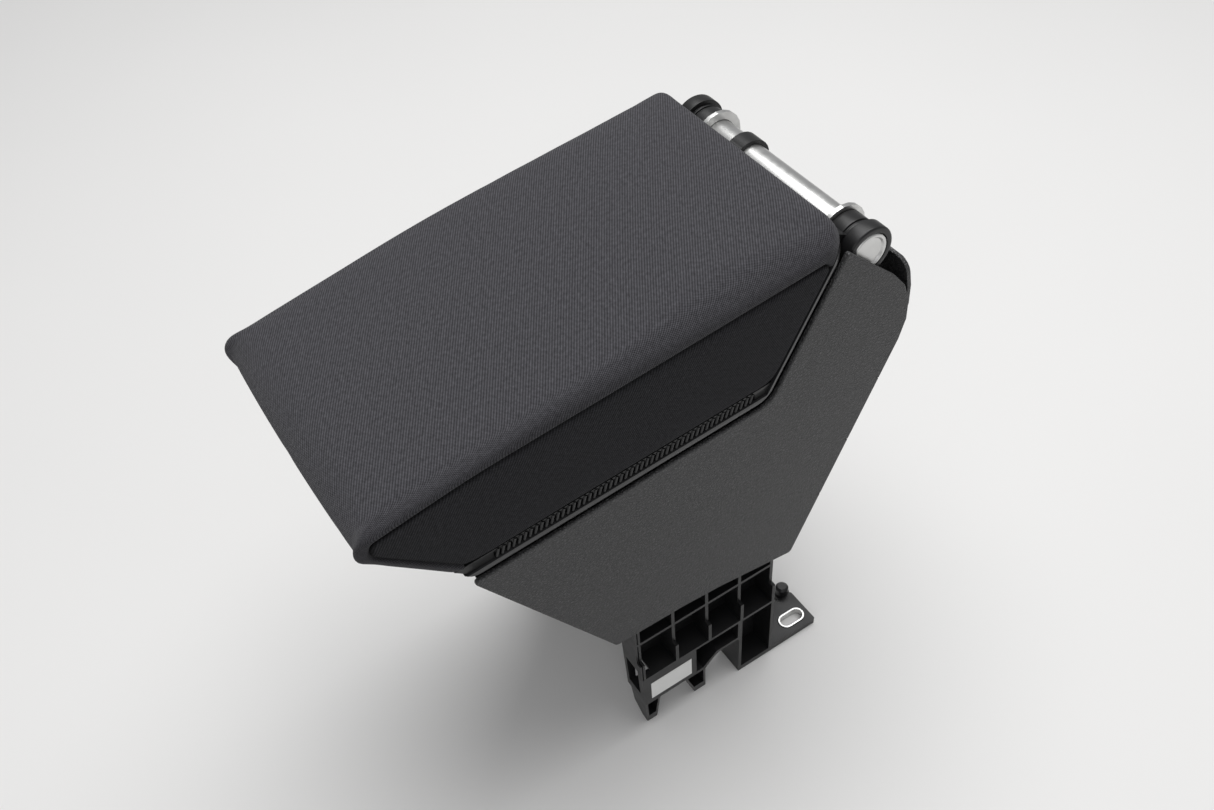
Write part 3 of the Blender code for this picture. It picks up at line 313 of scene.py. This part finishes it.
def make_studio():
    bpy.context.scene.view_settings.view_transform = "Standard"
    world = bpy.data.worlds.new("studio")
    world.use_nodes = True
    background = world.node_tree.nodes["Background"]
    background.inputs["Color"].default_value = WORLD_COLOUR
    background.inputs["Strength"].default_value = WORLD_STRENGTH
    bpy.context.scene.world = world
    bpy.ops.mesh.primitive_plane_add(size=FLOOR_SIZE, location=(0, 0, -FLOOR_DROP))
    floor = bpy.context.object
    floor.name = "floor"
    floor.data.materials.append(finish("pale_floor", FLOOR_COLOUR, 0.7, mottling=0.01, patch=0.5))
    area_lamp("key", *KEY_LAMP)
    area_lamp("fill", *FILL_LAMP)


# Finishes

def blank(name, roughness, metallic, specular):
    """New material, with its shader and node tree."""
    made = bpy.data.materials.new(name)
    made.use_nodes = True
    tree = made.node_tree
    shader = tree.nodes["Principled BSDF"]
    shader.inputs["Roughness"].default_value = roughness
    shader.inputs["Metallic"].default_value = metallic
    shader.inputs["Specular IOR Level"].default_value = specular
    return made, tree, shader


def noise(tree, source, size, detail=2.0):
    """Noise whose features have about a given size in metres."""
    node = tree.nodes.new("ShaderNodeTexNoise")
    node.inputs["Scale"].default_value = 1 / size
    node.inputs["Detail"].default_value = detail
    tree.links.new(source, node.inputs["Vector"])
    return node.outputs["Fac"]


def ranged(tree, value, start, end):
    """A value that runs over one range, brought to another."""
    node = tree.nodes.new("ShaderNodeMapRange")
    node.inputs["From Min"].default_value, node.inputs["From Max"].default_value = start
    node.inputs["To Min"].default_value, node.inputs["To Max"].default_value = end
    tree.links.new(value, node.inputs["Value"])
    return node.outputs["Result"]


def stretched(tree, value, low, high):
    """A noise value, whose middle range is spread over a new one."""
    return ranged(tree, value, NOISE_RANGE, (low, high))


def product(tree, first, second):
    node = tree.nodes.new("ShaderNodeMath")
    node.operation = "MULTIPLY"
    tree.links.new(first, node.inputs[0])
    tree.links.new(second, node.inputs[1])
    return node.outputs["Value"]


def shaded(tree, colour, factor):
    """A colour made darker or lighter by a factor."""
    node = tree.nodes.new("ShaderNodeVectorMath")
    node.operation = "SCALE"
    node.inputs[0].default_value = colour
    tree.links.new(factor, node.inputs["Scale"])
    return node.outputs["Vector"]


def relief(tree, shader, value, height):
    node = tree.nodes.new("ShaderNodeBump")
    node.inputs["Strength"].default_value = 1.0
    node.inputs["Distance"].default_value = height
    tree.links.new(value, node.inputs["Height"])
    tree.links.new(node.outputs["Normal"], shader.inputs["Normal"])


def finish(
    name, colour, roughness, metallic=0.0, specular=0.5, mottling=0.06, patch=0.02, grain=0.0008, height=0.0,
):
    """Moulded or metal surface with faint patches of tone and gloss, and a fine noise relief."""
    made, tree, shader = blank(name, roughness, metallic, specular)
    where = tree.nodes.new("ShaderNodeTexCoord").outputs["Object"]
    tone = stretched(tree, noise(tree, where, patch), 1 - mottling, 1 + mottling)
    tree.links.new(shaded(tree, colour, tone), shader.inputs["Base Color"])
    low, high = GLOSS_RANGE
    fine = noise(tree, where, patch * GLOSS_PATCH_SHARE)
    gloss = stretched(tree, fine, roughness * low, min(roughness * high, 1))
    tree.links.new(gloss, shader.inputs["Roughness"])
    if height:
        relief(tree, shader, noise(tree, where, grain), height)
    return made


def leather_grain(name, colour, roughness):
    """Grained plastic: small rounded islands between fine creases."""
    made, tree, shader = blank(name, roughness, 0.0, 0.5)
    where = tree.nodes.new("ShaderNodeTexCoord").outputs["Object"]
    cells = tree.nodes.new("ShaderNodeTexVoronoi")
    cells.feature = "DISTANCE_TO_EDGE"
    cells.inputs["Scale"].default_value = 1 / GRAIN_SIZE
    tree.links.new(where, cells.inputs["Vector"])
    island = tree.nodes.new("ShaderNodeMapRange")
    island.interpolation_type = "SMOOTHSTEP"
    island.inputs["From Max"].default_value = CREASE_WIDTH
    tree.links.new(cells.outputs["Distance"], island.inputs["Value"])
    relief(tree, shader, island.outputs["Result"], GRAIN_HEIGHT)
    crease = ranged(tree, island.outputs["Result"], (0, 1), CREASE_TONES)
    patches = stretched(tree, noise(tree, where, GRAIN_PATCH, FINE_DETAIL), *GRAIN_TONES)
    tree.links.new(shaded(tree, colour, product(tree, crease, patches)), shader.inputs["Base Color"])
    return made


def woven(name, colour, sheen):
    """Ribbed cloth: fine ribs crossed by a weaker weft, with the thread's own unevenness, and painted shade
    that darkens it along the seams.
    """
    made, tree, shader = blank(name, CLOTH_ROUGHNESS, 0.0, CLOTH_SPECULAR)
    shader.inputs["Sheen Weight"].default_value = sheen
    shader.inputs["Sheen Roughness"].default_value = SHEEN_ROUGHNESS
    cloth = tree.nodes.new("ShaderNodeUVMap")
    cloth.uv_map = "cloth_metres"
    turn = tree.nodes.new("ShaderNodeMapping")
    turn.inputs["Rotation"].default_value = (0, 0, WEAVE_TURN)
    tree.links.new(cloth.outputs["UV"], turn.inputs["Vector"])
    bands = []
    for direction, pitch, wander in WEAVE_BANDS:
        wave = tree.nodes.new("ShaderNodeTexWave")
        wave.bands_direction = direction
        wave.inputs["Scale"].default_value = math.pi / 10 / pitch
        wave.inputs["Distortion"].default_value = wander
        wave.inputs["Detail Scale"].default_value = WEAVE_WANDER_SCALE
        tree.links.new(turn.outputs["Vector"], wave.inputs["Vector"])
        bands.append(wave.outputs["Fac"])
    weave = tree.nodes.new("ShaderNodeMath")
    weave.operation = "MULTIPLY_ADD"
    weave.inputs[1].default_value = WEFT_SHARE
    tree.links.new(bands[1], weave.inputs[0])
    tree.links.new(bands[0], weave.inputs[2])
    relief(tree, shader, weave.outputs["Value"], WEAVE_HEIGHT)
    ribs = ranged(tree, weave.outputs["Value"], (0, 1 + WEFT_SHARE), RIB_TONES)
    threads = stretched(tree, noise(tree, cloth.outputs["UV"], THREAD_PATCH, FINE_DETAIL), *THREAD_TONES)
    # Painted shade: the cloth darkens along its seams by the pad's seam_shade values
    seam = tree.nodes.new("ShaderNodeAttribute")
    seam.attribute_name = "seam_shade"
    painted_seam_shade = ranged(tree, seam.outputs["Fac"], (0, 1), (1, SEAM_SHADE_TONE))
    tone = product(tree, product(tree, ribs, threads), painted_seam_shade)
    tree.links.new(shaded(tree, colour, tone), shader.inputs["Base Color"])
    return made


def paint(node, surface):
    slots = NODES[node].data.materials
    slots.clear()
    slots.append(surface)


# Fabric pad

def pad_lines(depth, y):
    """Rear, two top lines and front line of the pad at a depth under its side face."""
    crown = shifted((TOP_REAR, CREST), -eased(REAR_ROLL, depth))
    slope = shifted((CREST, NOSE), -eased(FRONT_ROLL, depth))
    bow = FRONT_BOW * (2 * y / WIDTH) ** 2
    front = shifted((NOSE, LIP_FRONT), -eased(FRONT_PLAN_RADIUS, depth) - bow)
    rear = shifted((REAR_LIP, TOP_REAR), -eased(REAR_PLAN_RADIUS, depth))
    return rear, crown, slope, front


def level_hem():
    return shifted((LIP_FRONT, BEND), -LEVEL_HEM)


def steep_hem():
    return shifted((BEND, REAR_LIP), -STEEP_HEM)


def pad_path(depth, y, sunk=0.0):
    """Side outline of the top panel, from the rear hem over the nose to the front hem, in matching steps."""
    rear, crown, slope, front = (shifted(line, -sunk) for line in pad_lines(depth, y))
    blend = max(1 - depth / NOSE_BLEND, 0) ** NOSE_BLEND_POWER
    radius = NOSE_RADIUS + (SEAM_NOSE_RADIUS - NOSE_RADIUS) * blend
    corner, crest, nose = meet(rear, crown), meet(crown, slope), meet(slope, front)
    end = meet(front, level_hem())
    rear_steps, top_steps, nose_steps, front_steps = PAD_PARTS
    roll = rounded(meet(rear, (REAR_LIP, BEND)), corner, crest, REAR_EDGE_RADIUS, REAR_EDGE_STEPS)
    d = along(*steep_hem())
    over = [p for p in roll if (p[0] - steep_hem()[0][0]) * d[1] - (p[1] - steep_hem()[0][1]) * d[0] > 0]
    first = meet((over[0], over[1]), steep_hem())
    path = resampled([first, *over], rear_steps)[:-1]
    bend = rounded(crest, nose, end, radius, nose_steps)
    rise = rounded(corner, crest, nose, CREST_RADIUS, CREST_STEPS)
    path += resampled([over[-1], *rise, bend[0]], top_steps)[:-1]
    path += bend[:-1] + spread(bend[-1], end, front_steps) + [end]
    return path


def pad_stations():
    """Depths under the side face, from the face to the middle."""
    depths = [REAR_ROLL * (1 - math.cos(math.radians(angle))) for angle in ROLL_ANGLES]
    count = round((WIDTH / 2 - REAR_ROLL) / PAD_STEP)
    return depths + [mixed((REAR_ROLL,), (WIDTH / 2,), k / count)[0] for k in range(1, count + 1)]


def run_lengths(points):
    runs = [0]
    for p, q in zip(points, points[1:]):
        runs.append(runs[-1] + math.dist(p, q))
    return runs


def hem_point(forward, hem):
    for p, q in zip(hem, hem[1:]):
        if p[0] <= forward <= q[0]:
            return mixed(p, q, (forward - p[0]) / (q[0] - p[0]))
    return hem[0] if forward < hem[0][0] else hem[-1]


def make_pad():
    """Closed sewn pad: one panel over the top and nose, a panel on each side, and a flat base."""
    verts, holds, shades, seen = [], [], [], {}
    faces, maps, panels = [], [], []

    def corner(where, hold, shade):
        key = tuple(round(c * 1e7) for c in where)
        if key not in seen:
            seen[key] = len(verts)
            verts.append(where)
            holds.append(hold)
            shades.append(shade)
        holds[seen[key]] = max(holds[seen[key]], hold)
        shades[seen[key]] = max(shades[seen[key]], shade)
        return seen[key]

    def sheet(rows, panel):
        numbers = [[(corner(where, hold, shade), uv) for where, uv, hold, shade in row] for row in rows]
        for row, other in zip(numbers, numbers[1:]):
            for i in range(1, len(row)):
                ring = []
                for item in (row[i - 1], row[i], other[i], other[i - 1]):
                    if item[0] not in [known[0] for known in ring]:
                        ring.append(item)
                if len(ring) > 2:
                    faces.append([item[0] for item in ring])
                    maps.append([item[1] for item in ring])
                    panels.append(panel)

    # Top panel, in columns from side to side
    stations = pad_stations()
    rise, drop = SEAM_SHOULDER
    columns = [(SEAM_DEPTH, SEAM_SET), (SEAM_DEPTH * rise, SEAM_SET * drop)]
    columns += [(depth, 0.0) for depth in stations]
    paths = []
    for number, (depth, sunk) in enumerate(columns):
        shape_depth = 0.0 if number < 2 else depth
        y = WIDTH / 2 - (0 if number < 2 else depth)
        paths.append((depth, pad_path(shape_depth, y, sunk)))
    middle = run_lengths(paths[-1][1])
    strips = []
    for side in (-1, 1):
        order = paths if side < 0 else paths[-2::-1]
        for depth, path in order:
            strips.append((side, depth, path))
    across = [(side * (WIDTH / 2 - depth), path[MEASURED_STATION][1]) for side, depth, path in strips]
    wide = run_lengths(across)
    number_of = {(side, depth): i for side in (-1, 1) for i, (depth, _) in enumerate(paths[:2])}
    rows = []
    for (side, depth, path), run in zip(strips, wide):
        edge = depth <= SEAM_DEPTH and path in (paths[0][1], paths[1][1])
        hem = len(path) - 1
        row = []
        for j, (f, h) in enumerate(path):
            hold = 1.0 if edge or j in (0, hem) else 0.0
            # Painted shade on the top panel beside the seam
            shade = (1.0, 0.6)[number_of[(side, depth)]] if edge else max(0, 1 - depth / SEAM_SHADE) * 0.5
            row.append((place(f, h, side, depth), (middle[j], run), hold, shade))
        rows.append(row)
    sheet(rows, 0)

    # Side panels, in columns from the rear to the nose
    seam = paths[0][1]
    rear_steps, top_steps, nose_steps, _ = PAD_PARTS
    steep, level = steep_hem(), level_hem()
    bend = rounded(seam[0], meet(steep, level), seam[-1], HEM_BEND_RADIUS, HEM_BEND_STEPS)
    hem = [seam[0], *bend, seam[-1]]
    tip = rear_steps + top_steps + nose_steps // 2
    turn = tip - (len(seam) - 1 - tip)
    for side in (-1, 1):
        rows = []
        for j in range(tip + 1):
            if j <= turn:
                share = j / turn
                low = hem_point(seam[j][0], hem) if 0 < j < turn else (seam[0] if j == 0 else seam[-1])
            else:
                low = seam[len(seam) - 1 - (j - turn)]
            row = []
            for t in SIDE_SHARES:
                f, h = mixed(seam[j], low, t)
                to_seam, to_hem = gap_to(seam, (f, h)), gap_to(hem, (f, h))
                depth = max(eased(SEAM_DEPTH, to_seam), eased(HEM_ROLL, to_hem))
                if t in (0, 1) and not (t == 1 and j <= turn):
                    depth = SEAM_DEPTH
                hold = 1.0 if min(to_seam, to_hem) < HELD_WIDTH else 0.0
                # Painted shade on the side panel beside the seam
                shade = max(0, 1 - to_seam / SEAM_SHADE)
                row.append((place(f, h, side, depth), (f, h), hold, shade))
            rows.append(row)
        sheet(rows, 1)
    mesh = bpy.data.meshes.new("fabric_pad")
    mesh.from_pydata(verts, [], faces)
    mesh.polygons.foreach_set("material_index", panels)
    layer = mesh.uv_layers.new(name="cloth_metres")
    values = [value for ring in maps for uv in ring for value in uv]
    layer.data.foreach_set("uv", values)
    pad = bpy.data.objects.new("fabric_pad", mesh)
    bpy.context.scene.collection.objects.link(pad)
    # Painted shade along the seams, kept per vertex for the cloth material
    painted_seam_shade = mesh.attributes.new("seam_shade", "FLOAT", "POINT")
    painted_seam_shade.data.foreach_set("value", shades)
    group = pad.vertex_groups.new(name="seams")
    for number, hold in enumerate(holds):
        group.add([number], hold, "REPLACE")
    shape = bmesh.new()
    shape.from_mesh(mesh)
    rim = [edge for edge in shape.edges if len(edge.link_faces) == 1]
    bmesh.ops.triangle_fill(shape, use_beauty=True, edges=rim, normal=(0, 0, -1))
    bmesh.ops.recalc_face_normals(shape, faces=shape.faces)
    shape.to_mesh(mesh)
    shape.free()
    mesh.shade_smooth()
    return pad


def applied(piece):
    """The piece with its modifiers made part of its mesh."""
    graph = bpy.context.evaluated_depsgraph_get()
    mesh = bpy.data.meshes.new_from_object(piece.evaluated_get(graph), depsgraph=graph)
    piece.modifiers.clear()
    piece.data = mesh
    return piece


def puff_up(pad):
    """Inflates the sewn pad a little as cloth, held along its seams and hems."""
    cloth = pad.modifiers.new("Padding", "CLOTH")
    settings = cloth.settings
    settings.use_pressure = True
    settings.uniform_pressure_force = PUFF_PRESSURE
    settings.effector_weights.gravity = 0
    settings.vertex_group_mass = "seams"
    settings.tension_stiffness = settings.compression_stiffness = CLOTH_STIFFNESS
    settings.bending_stiffness = CLOTH_BENDING
    cloth.point_cache.frame_end = PUFF_FRAMES
    for number in range(1, PUFF_FRAMES + 1):
        bpy.context.scene.frame_set(number)
    graph = bpy.context.evaluated_depsgraph_get()
    swollen = [vertex.co.copy() for vertex in pad.evaluated_get(graph).data.vertices]
    pad.modifiers.clear()
    bpy.context.scene.frame_set(1)
    for vertex, target in zip(pad.data.vertices, swollen):
        move = target - vertex.co
        vertex.co += move * (PUFF_LIMIT / (PUFF_LIMIT + move.length))


def make_fabric_pad(top_fabric, shaded_side_fabric):
    pad = make_pad()
    pad.data.materials.append(top_fabric)
    # Painted shade: the side panels take the darker, shaded copy of the fabric
    pad.data.materials.append(shaded_side_fabric)
    puff_up(pad)
    smooth = pad.modifiers.new("Smooth", "SUBSURF")
    smooth.levels = smooth.render_levels = 1
    applied(pad)
    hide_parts("fabric_cover", "foam_core")
    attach(pad, "lid")


# Hard pieces

def new_piece(name, mesh, surface, angle=SHARP_ANGLE):
    mesh.materials.clear()
    mesh.materials.append(surface)
    piece = bpy.data.objects.new(name, mesh)
    bpy.context.scene.collection.objects.link(piece)
    mesh.shade_smooth()
    mesh.set_sharp_from_angle(angle=math.radians(angle))
    return piece


def handed_in(piece, node):
    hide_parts(node)
    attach(piece, "lid" if node in LID_NODES else "base")


def refined(node, surface, width):
    """Copy of a solid with its flat faces joined and its edges softly rounded."""
    shape = bmesh.new()
    shape.from_mesh(NODES[node].data)
    shape.transform(NODES[node].matrix_world)
    bmesh.ops.remove_doubles(shape, verts=shape.verts, dist=MERGE_DISTANCE)
    flat = math.radians(FLAT_ANGLE)
    bmesh.ops.dissolve_limit(shape, angle_limit=flat, verts=shape.verts, edges=shape.edges)
    mesh = bpy.data.meshes.new(node + "_refined")
    shape.to_mesh(mesh)
    shape.free()
    piece = new_piece(node + "_refined", mesh, surface)
    if width:
        edges = piece.modifiers.new("Edges", "BEVEL")
        edges.width = width
        edges.segments = 2
        edges.limit_method = "ANGLE"
        edges.angle_limit = math.radians(SHARP_ANGLE)
        edges.use_clamp_overlap = True
        applied(piece)
        piece.data.shade_smooth()
        piece.data.set_sharp_from_angle(angle=math.radians(SHARP_ANGLE))
    flats = piece.modifiers.new("Flats", "WEIGHTED_NORMAL")
    flats.keep_sharp = True
    return applied(piece)


def lathe(profile, centre, direction, steps=ROUND_STEPS):
    """Vertices and faces of a turned ring, whose closed profile is (radius, height) pairs."""
    turn = Vector((0, 0, 1)).rotation_difference(Vector(direction)).to_matrix()
    verts, faces = [], []
    count = len(profile)
    for k in range(steps):
        a = 2 * math.pi * k / steps
        for radius, height in profile:
            point = Vector((radius * math.cos(a), radius * math.sin(a), height))
            verts.append(Vector(centre) + turn @ point)
    for k in range(steps):
        n = (k + 1) % steps
        for i in range(count):
            j = (i + 1) % count
            faces.append((k * count + i, n * count + i, n * count + j, k * count + j))
    return verts, faces


def turned_piece(name, ring, surface, angle=SHARP_ANGLE):
    verts, faces = ring
    mesh = bpy.data.meshes.new(name)
    mesh.from_pydata(verts, [], faces)
    shape = bmesh.new()
    shape.from_mesh(mesh)
    bmesh.ops.remove_doubles(shape, verts=shape.verts, dist=RING_MERGE_DISTANCE)
    bmesh.ops.recalc_face_normals(shape, faces=shape.faces)
    shape.to_mesh(mesh)
    shape.free()
    return new_piece(name, mesh, surface, angle)


def area_of(p, q, r):
    return (q[0] - p[0]) * (r[1] - p[1]) - (q[1] - p[1]) * (r[0] - p[0])


def soft_profile(corners, steps=4):
    """Closed profile of (radius, height, rounding) corners."""
    points = []
    for i, (x, y, radius) in enumerate(corners):
        before, after = corners[i - 1][:2], corners[(i + 1) % len(corners)][:2]
        if radius <= 0 or abs(area_of(before, (x, y), after)) < NO_AREA:
            points.append((x, y))
        else:
            points += rounded(before, (x, y), after, radius, steps)
    return points


def barrel_ring(side):
    """Black barrel round the tube, with a rim and two ring grooves at its outer end."""
    shallow, deep = BARREL_DEPTHS
    length = deep - shallow
    bore = TUBE_RADIUS + TUBE_GAP
    low = BARREL_RADIUS - BARREL_GROOVE
    cup, end = CAP_RADIUS + TUBE_GAP, length + BARREL_COLLAR
    corners = [(bore, length, 0), (cup, length, BORE_EDGE), (cup, end, CUP_EDGE)]
    corners += [(BARREL_RIM_RADIUS, end, RIM_EDGE), (BARREL_RIM_RADIUS, length - RIM_LENGTH, BORE_EDGE)]
    top = length - RING_START
    for _ in range(RING_COUNT):
        groove_end = top - GROOVE_WIDTH
        land = groove_end - GROOVE_SLOPE
        corners += [(low, top, GROOVE_SLOPE), (low, groove_end, GROOVE_SLOPE)]
        corners += [(BARREL_RADIUS, land, BORE_EDGE), (BARREL_RADIUS, land - RING_LAND, BORE_EDGE)]
        top -= RING_PITCH
    corners[-1] = (BARREL_RADIUS, top + GROOVE_SLOPE, 0)
    corners += [(BARREL_RADIUS, 0, BARREL_EDGE), (bore, 0, BORE_EDGE)]
    return lathe(soft_profile(corners), place(*HINGE, side, deep), (0, side, 0))


def tuck_in(shape, side):
    """Moves the vertices round the hinge axis into the wall of the barrel that is drawn there."""
    shallow, deep = BARREL_DEPTHS
    inner = TUBE_RADIUS + TUBE_GAP + BARREL_TUCK
    outer = BARREL_RADIUS - BARREL_GROOVE - BARREL_TUCK
    first, last = shallow + 3 * BARREL_TUCK, deep - 3 * BARREL_TUCK
    axis = place(*HINGE, side, 0)
    for vertex in shape.verts:
        across = Vector((vertex.co.x - axis.x, 0, vertex.co.z - axis.z))
        if across.length < BARREL_RIM_RADIUS + BARREL_TUCK:
            across *= min(max(across.length, inner), outer) / across.length
            depth = min(max(abs(axis.y - vertex.co.y), first), last)
            vertex.co = axis + across - Vector((0, side * depth, 0))


def make_hinge(black, steel):
    low, high = TUBE_RADIUS - TUBE_WALL, TUBE_RADIUS
    length = WIDTH - 2 * TUBE_END_DEPTH
    wall = soft_profile([(low, length, 0), (high, length, TUBE_EDGE), (high, 0, TUBE_EDGE), (low, 0, 0)])
    ring = lathe(wall, place(*HINGE, -1, TUBE_END_DEPTH), (0, 1, 0), TUBE_STEPS)
    handed_in(turned_piece("tube", ring, steel), "hinge_tube")
    plug = low - TUBE_GAP
    top, dish = CAP_THICKNESS, CAP_THICKNESS - CAP_DISH
    dish_end, rim_start = (CAP_RADIUS * share for share in CAP_DISH_SHARES)
    rim = [
        (AXIS_RADIUS, dish, 0), (dish_end, dish, CAP_DISH_EDGE), (rim_start, top, CAP_DISH_EDGE),
        (CAP_RADIUS, top, CAP_EDGE), (CAP_RADIUS, 0, CUP_EDGE),
        (plug, 0, 0), (plug, -CAP_PLUG_LENGTH, CAP_PLUG_EDGE), (AXIS_RADIUS, -CAP_PLUG_LENGTH, 0),
    ]
    for side, label in ((-1, "left"), (1, "right")):
        ring = lathe(soft_profile(rim), place(*HINGE, side, TUBE_END_DEPTH - TUBE_GAP), (0, side, 0))
        cap = turned_piece("cap_" + label, ring, steel, CAP_SHARP_ANGLE)
        handed_in(cap, "tube_cap_" + label)
        arm = refined("lid_hinge_" + label, black, 0.0)
        barrel = turned_piece("barrel_" + label, barrel_ring(side), black)
        shape = bmesh.new()
        shape.from_mesh(arm.data)
        tuck_in(shape, side)
        shape.from_mesh(barrel.data)
        shape.to_mesh(arm.data)
        shape.free()
        bpy.data.objects.remove(barrel)
        arm.data.shade_smooth()
        arm.data.set_sharp_from_angle(angle=math.radians(SHARP_ANGLE))
        handed_in(arm, "lid_hinge_" + label)


# Toothed band

def tooth_tree(surface):
    """Adds a row of slanted round teeth to a mesh, by named sizes."""
    tree = bpy.data.node_groups.new("tooth_row", "GeometryNodeTree")
    face = tree.interface
    face.new_socket("Geometry", in_out="INPUT", socket_type="NodeSocketGeometry")
    for name, kind in (
        ("Count", "NodeSocketInt"), ("Start", "NodeSocketVector"), ("Step", "NodeSocketVector"),
        ("Radius", "NodeSocketFloat"), ("Length", "NodeSocketFloat"), ("Turn", "NodeSocketRotation"),
    ):
        face.new_socket(name, in_out="INPUT", socket_type=kind)
    face.new_socket("Geometry", in_out="OUTPUT", socket_type="NodeSocketGeometry")
    new, link = tree.nodes.new, tree.links.new
    inputs, output = new("NodeGroupInput"), new("NodeGroupOutput")
    line, tooth = new("GeometryNodeMeshLine"), new("GeometryNodeMeshCylinder")
    copies, join = new("GeometryNodeInstanceOnPoints"), new("GeometryNodeJoinGeometry")
    real, paint_all = new("GeometryNodeRealizeInstances"), new("GeometryNodeSetMaterial")
    tooth.inputs["Vertices"].default_value = TOOTH_SIDES
    paint_all.inputs["Material"].default_value = surface
    link(inputs.outputs["Count"], line.inputs["Count"])
    link(inputs.outputs["Start"], line.inputs["Start Location"])
    link(inputs.outputs["Step"], line.inputs["Offset"])
    link(inputs.outputs["Radius"], tooth.inputs["Radius"])
    link(inputs.outputs["Length"], tooth.inputs["Depth"])
    link(line.outputs["Mesh"], copies.inputs["Points"])
    link(tooth.outputs["Mesh"], copies.inputs["Instance"])
    link(inputs.outputs["Turn"], copies.inputs["Rotation"])
    link(copies.outputs["Instances"], join.inputs["Geometry"])
    link(inputs.outputs["Geometry"], join.inputs["Geometry"])
    link(join.outputs["Geometry"], real.inputs["Geometry"])
    link(real.outputs["Geometry"], paint_all.inputs["Geometry"])
    link(paint_all.outputs["Geometry"], output.inputs["Geometry"])
    return tree


def make_toothed_band(black):
    band = refined("lid_frame", black, 0.0)
    tree = tooth_tree(black)
    forward = along(BEND, LIP_FRONT)
    up = (-forward[1], forward[0])
    length = math.dist(BEND, LIP_FRONT)
    count = int((length - LIP_RADIUS - SMOOTH_FRONT) / TOOTH_PITCH)
    rise = LIP_HEIGHT + TOOTH_BAND / 2
    reach = LIP_RADIUS + TOOTH_GROOVE + (TOOTH_PITCH - TOOTH_GROOVE) / 2
    first = (BEND[0] + forward[0] * reach + up[0] * rise, BEND[1] + forward[1] * reach + up[1] * rise)
    values = {
        "Count": count, "Step": (-forward[0] * TOOTH_PITCH, 0, forward[1] * TOOTH_PITCH),
        "Radius": TOOTH_RADIUS, "Length": TOOTH_BAND - TOOTH_END_ROOM,
        "Turn": (0, TOOTH_SLANT, 0),
    }
    for side in (-1, 1):
        row = band.modifiers.new("Teeth", "NODES")
        row.node_group = tree
        values["Start"] = place(*first, side, BAND_RECESS + TOOTH_SINK)
        for item in tree.interface.items_tree:
            if item.name in values:
                row[item.identifier] = values[item.name]
    applied(band)
    band.data.shade_smooth()
    band.data.set_sharp_from_angle(angle=math.radians(TOOTH_SHARP_ANGLE))
    handed_in(band, "lid_frame")


make_camera()
make_studio()
fabric = woven("woven_fabric", (0.055, 0.054, 0.060), 0.10)
# Painted shade: the side panels get a darker copy of the top fabric with weaker sheen, for side faces that
# take less light than the top
shaded_side_fabric = woven("woven_fabric_painted_shade", (0.020, 0.020, 0.022), 0.03)
black = finish(
    "black_plastic", (0.008, 0.008, 0.0085), 0.38, specular=0.42, mottling=0.08,
    grain=0.0006, height=0.00001,
)
satin = finish("satin_plastic", (0.022, 0.022, 0.023), 0.30, mottling=0.05, grain=0.0005, height=0.000006)
grained = leather_grain("grained_plastic", (0.046, 0.046, 0.0475), 0.50)
steel = finish(
    "zinc_steel", (0.66, 0.66, 0.65), 0.33, 1.0, mottling=0.04, patch=0.006, grain=0.0012, height=0.0000012,
)
rubber = finish("rubber", (0.02, 0.02, 0.02), 0.85, mottling=0.10, patch=0.004, grain=0.0004, height=0.00002)
paper = finish(
    "white_label", (0.72, 0.72, 0.71), 0.5, mottling=0.02, patch=0.008, grain=0.0006, height=0.000008,
)
SLOTS = {
    "fabric": fabric, "foam": rubber, "black_plastic": black, "grained_plastic": grained,
    "steel": steel, "rubber": rubber, "label": paper,
}
for row in frame["record"]["subparts"]:
    paint(row["node"], SLOTS[row["material_slot"]])
make_fabric_pad(fabric, shaded_side_fabric)
make_hinge(black, steel)
make_toothed_band(black)
for node, surface, slot, width in (
    ("lid_pan", satin, "black_plastic", 0.0007),
    ("lid_knuckle", black, "black_plastic", 0.0),
    ("frame_left", black, "black_plastic", 0.0003),
    ("frame_right", black, "black_plastic", 0.0003),
    ("side_cover_left", grained, "grained_plastic", 0.0),
    ("side_cover_right", grained, "grained_plastic", 0.0),
    ("rear_cover", grained, "grained_plastic", 0.0004),
    ("front_cover", grained, "grained_plastic", 0.0004),
    ("bin", black, "black_plastic", 0.0004),
    ("hinge_bracket", steel, "steel", 0.0004),
    ("slot_sleeve_left", steel, "steel", 0.0003),
    ("slot_sleeve_right", steel, "steel", 0.0003),
):
    handed_in(refined(node, surface, width), node)
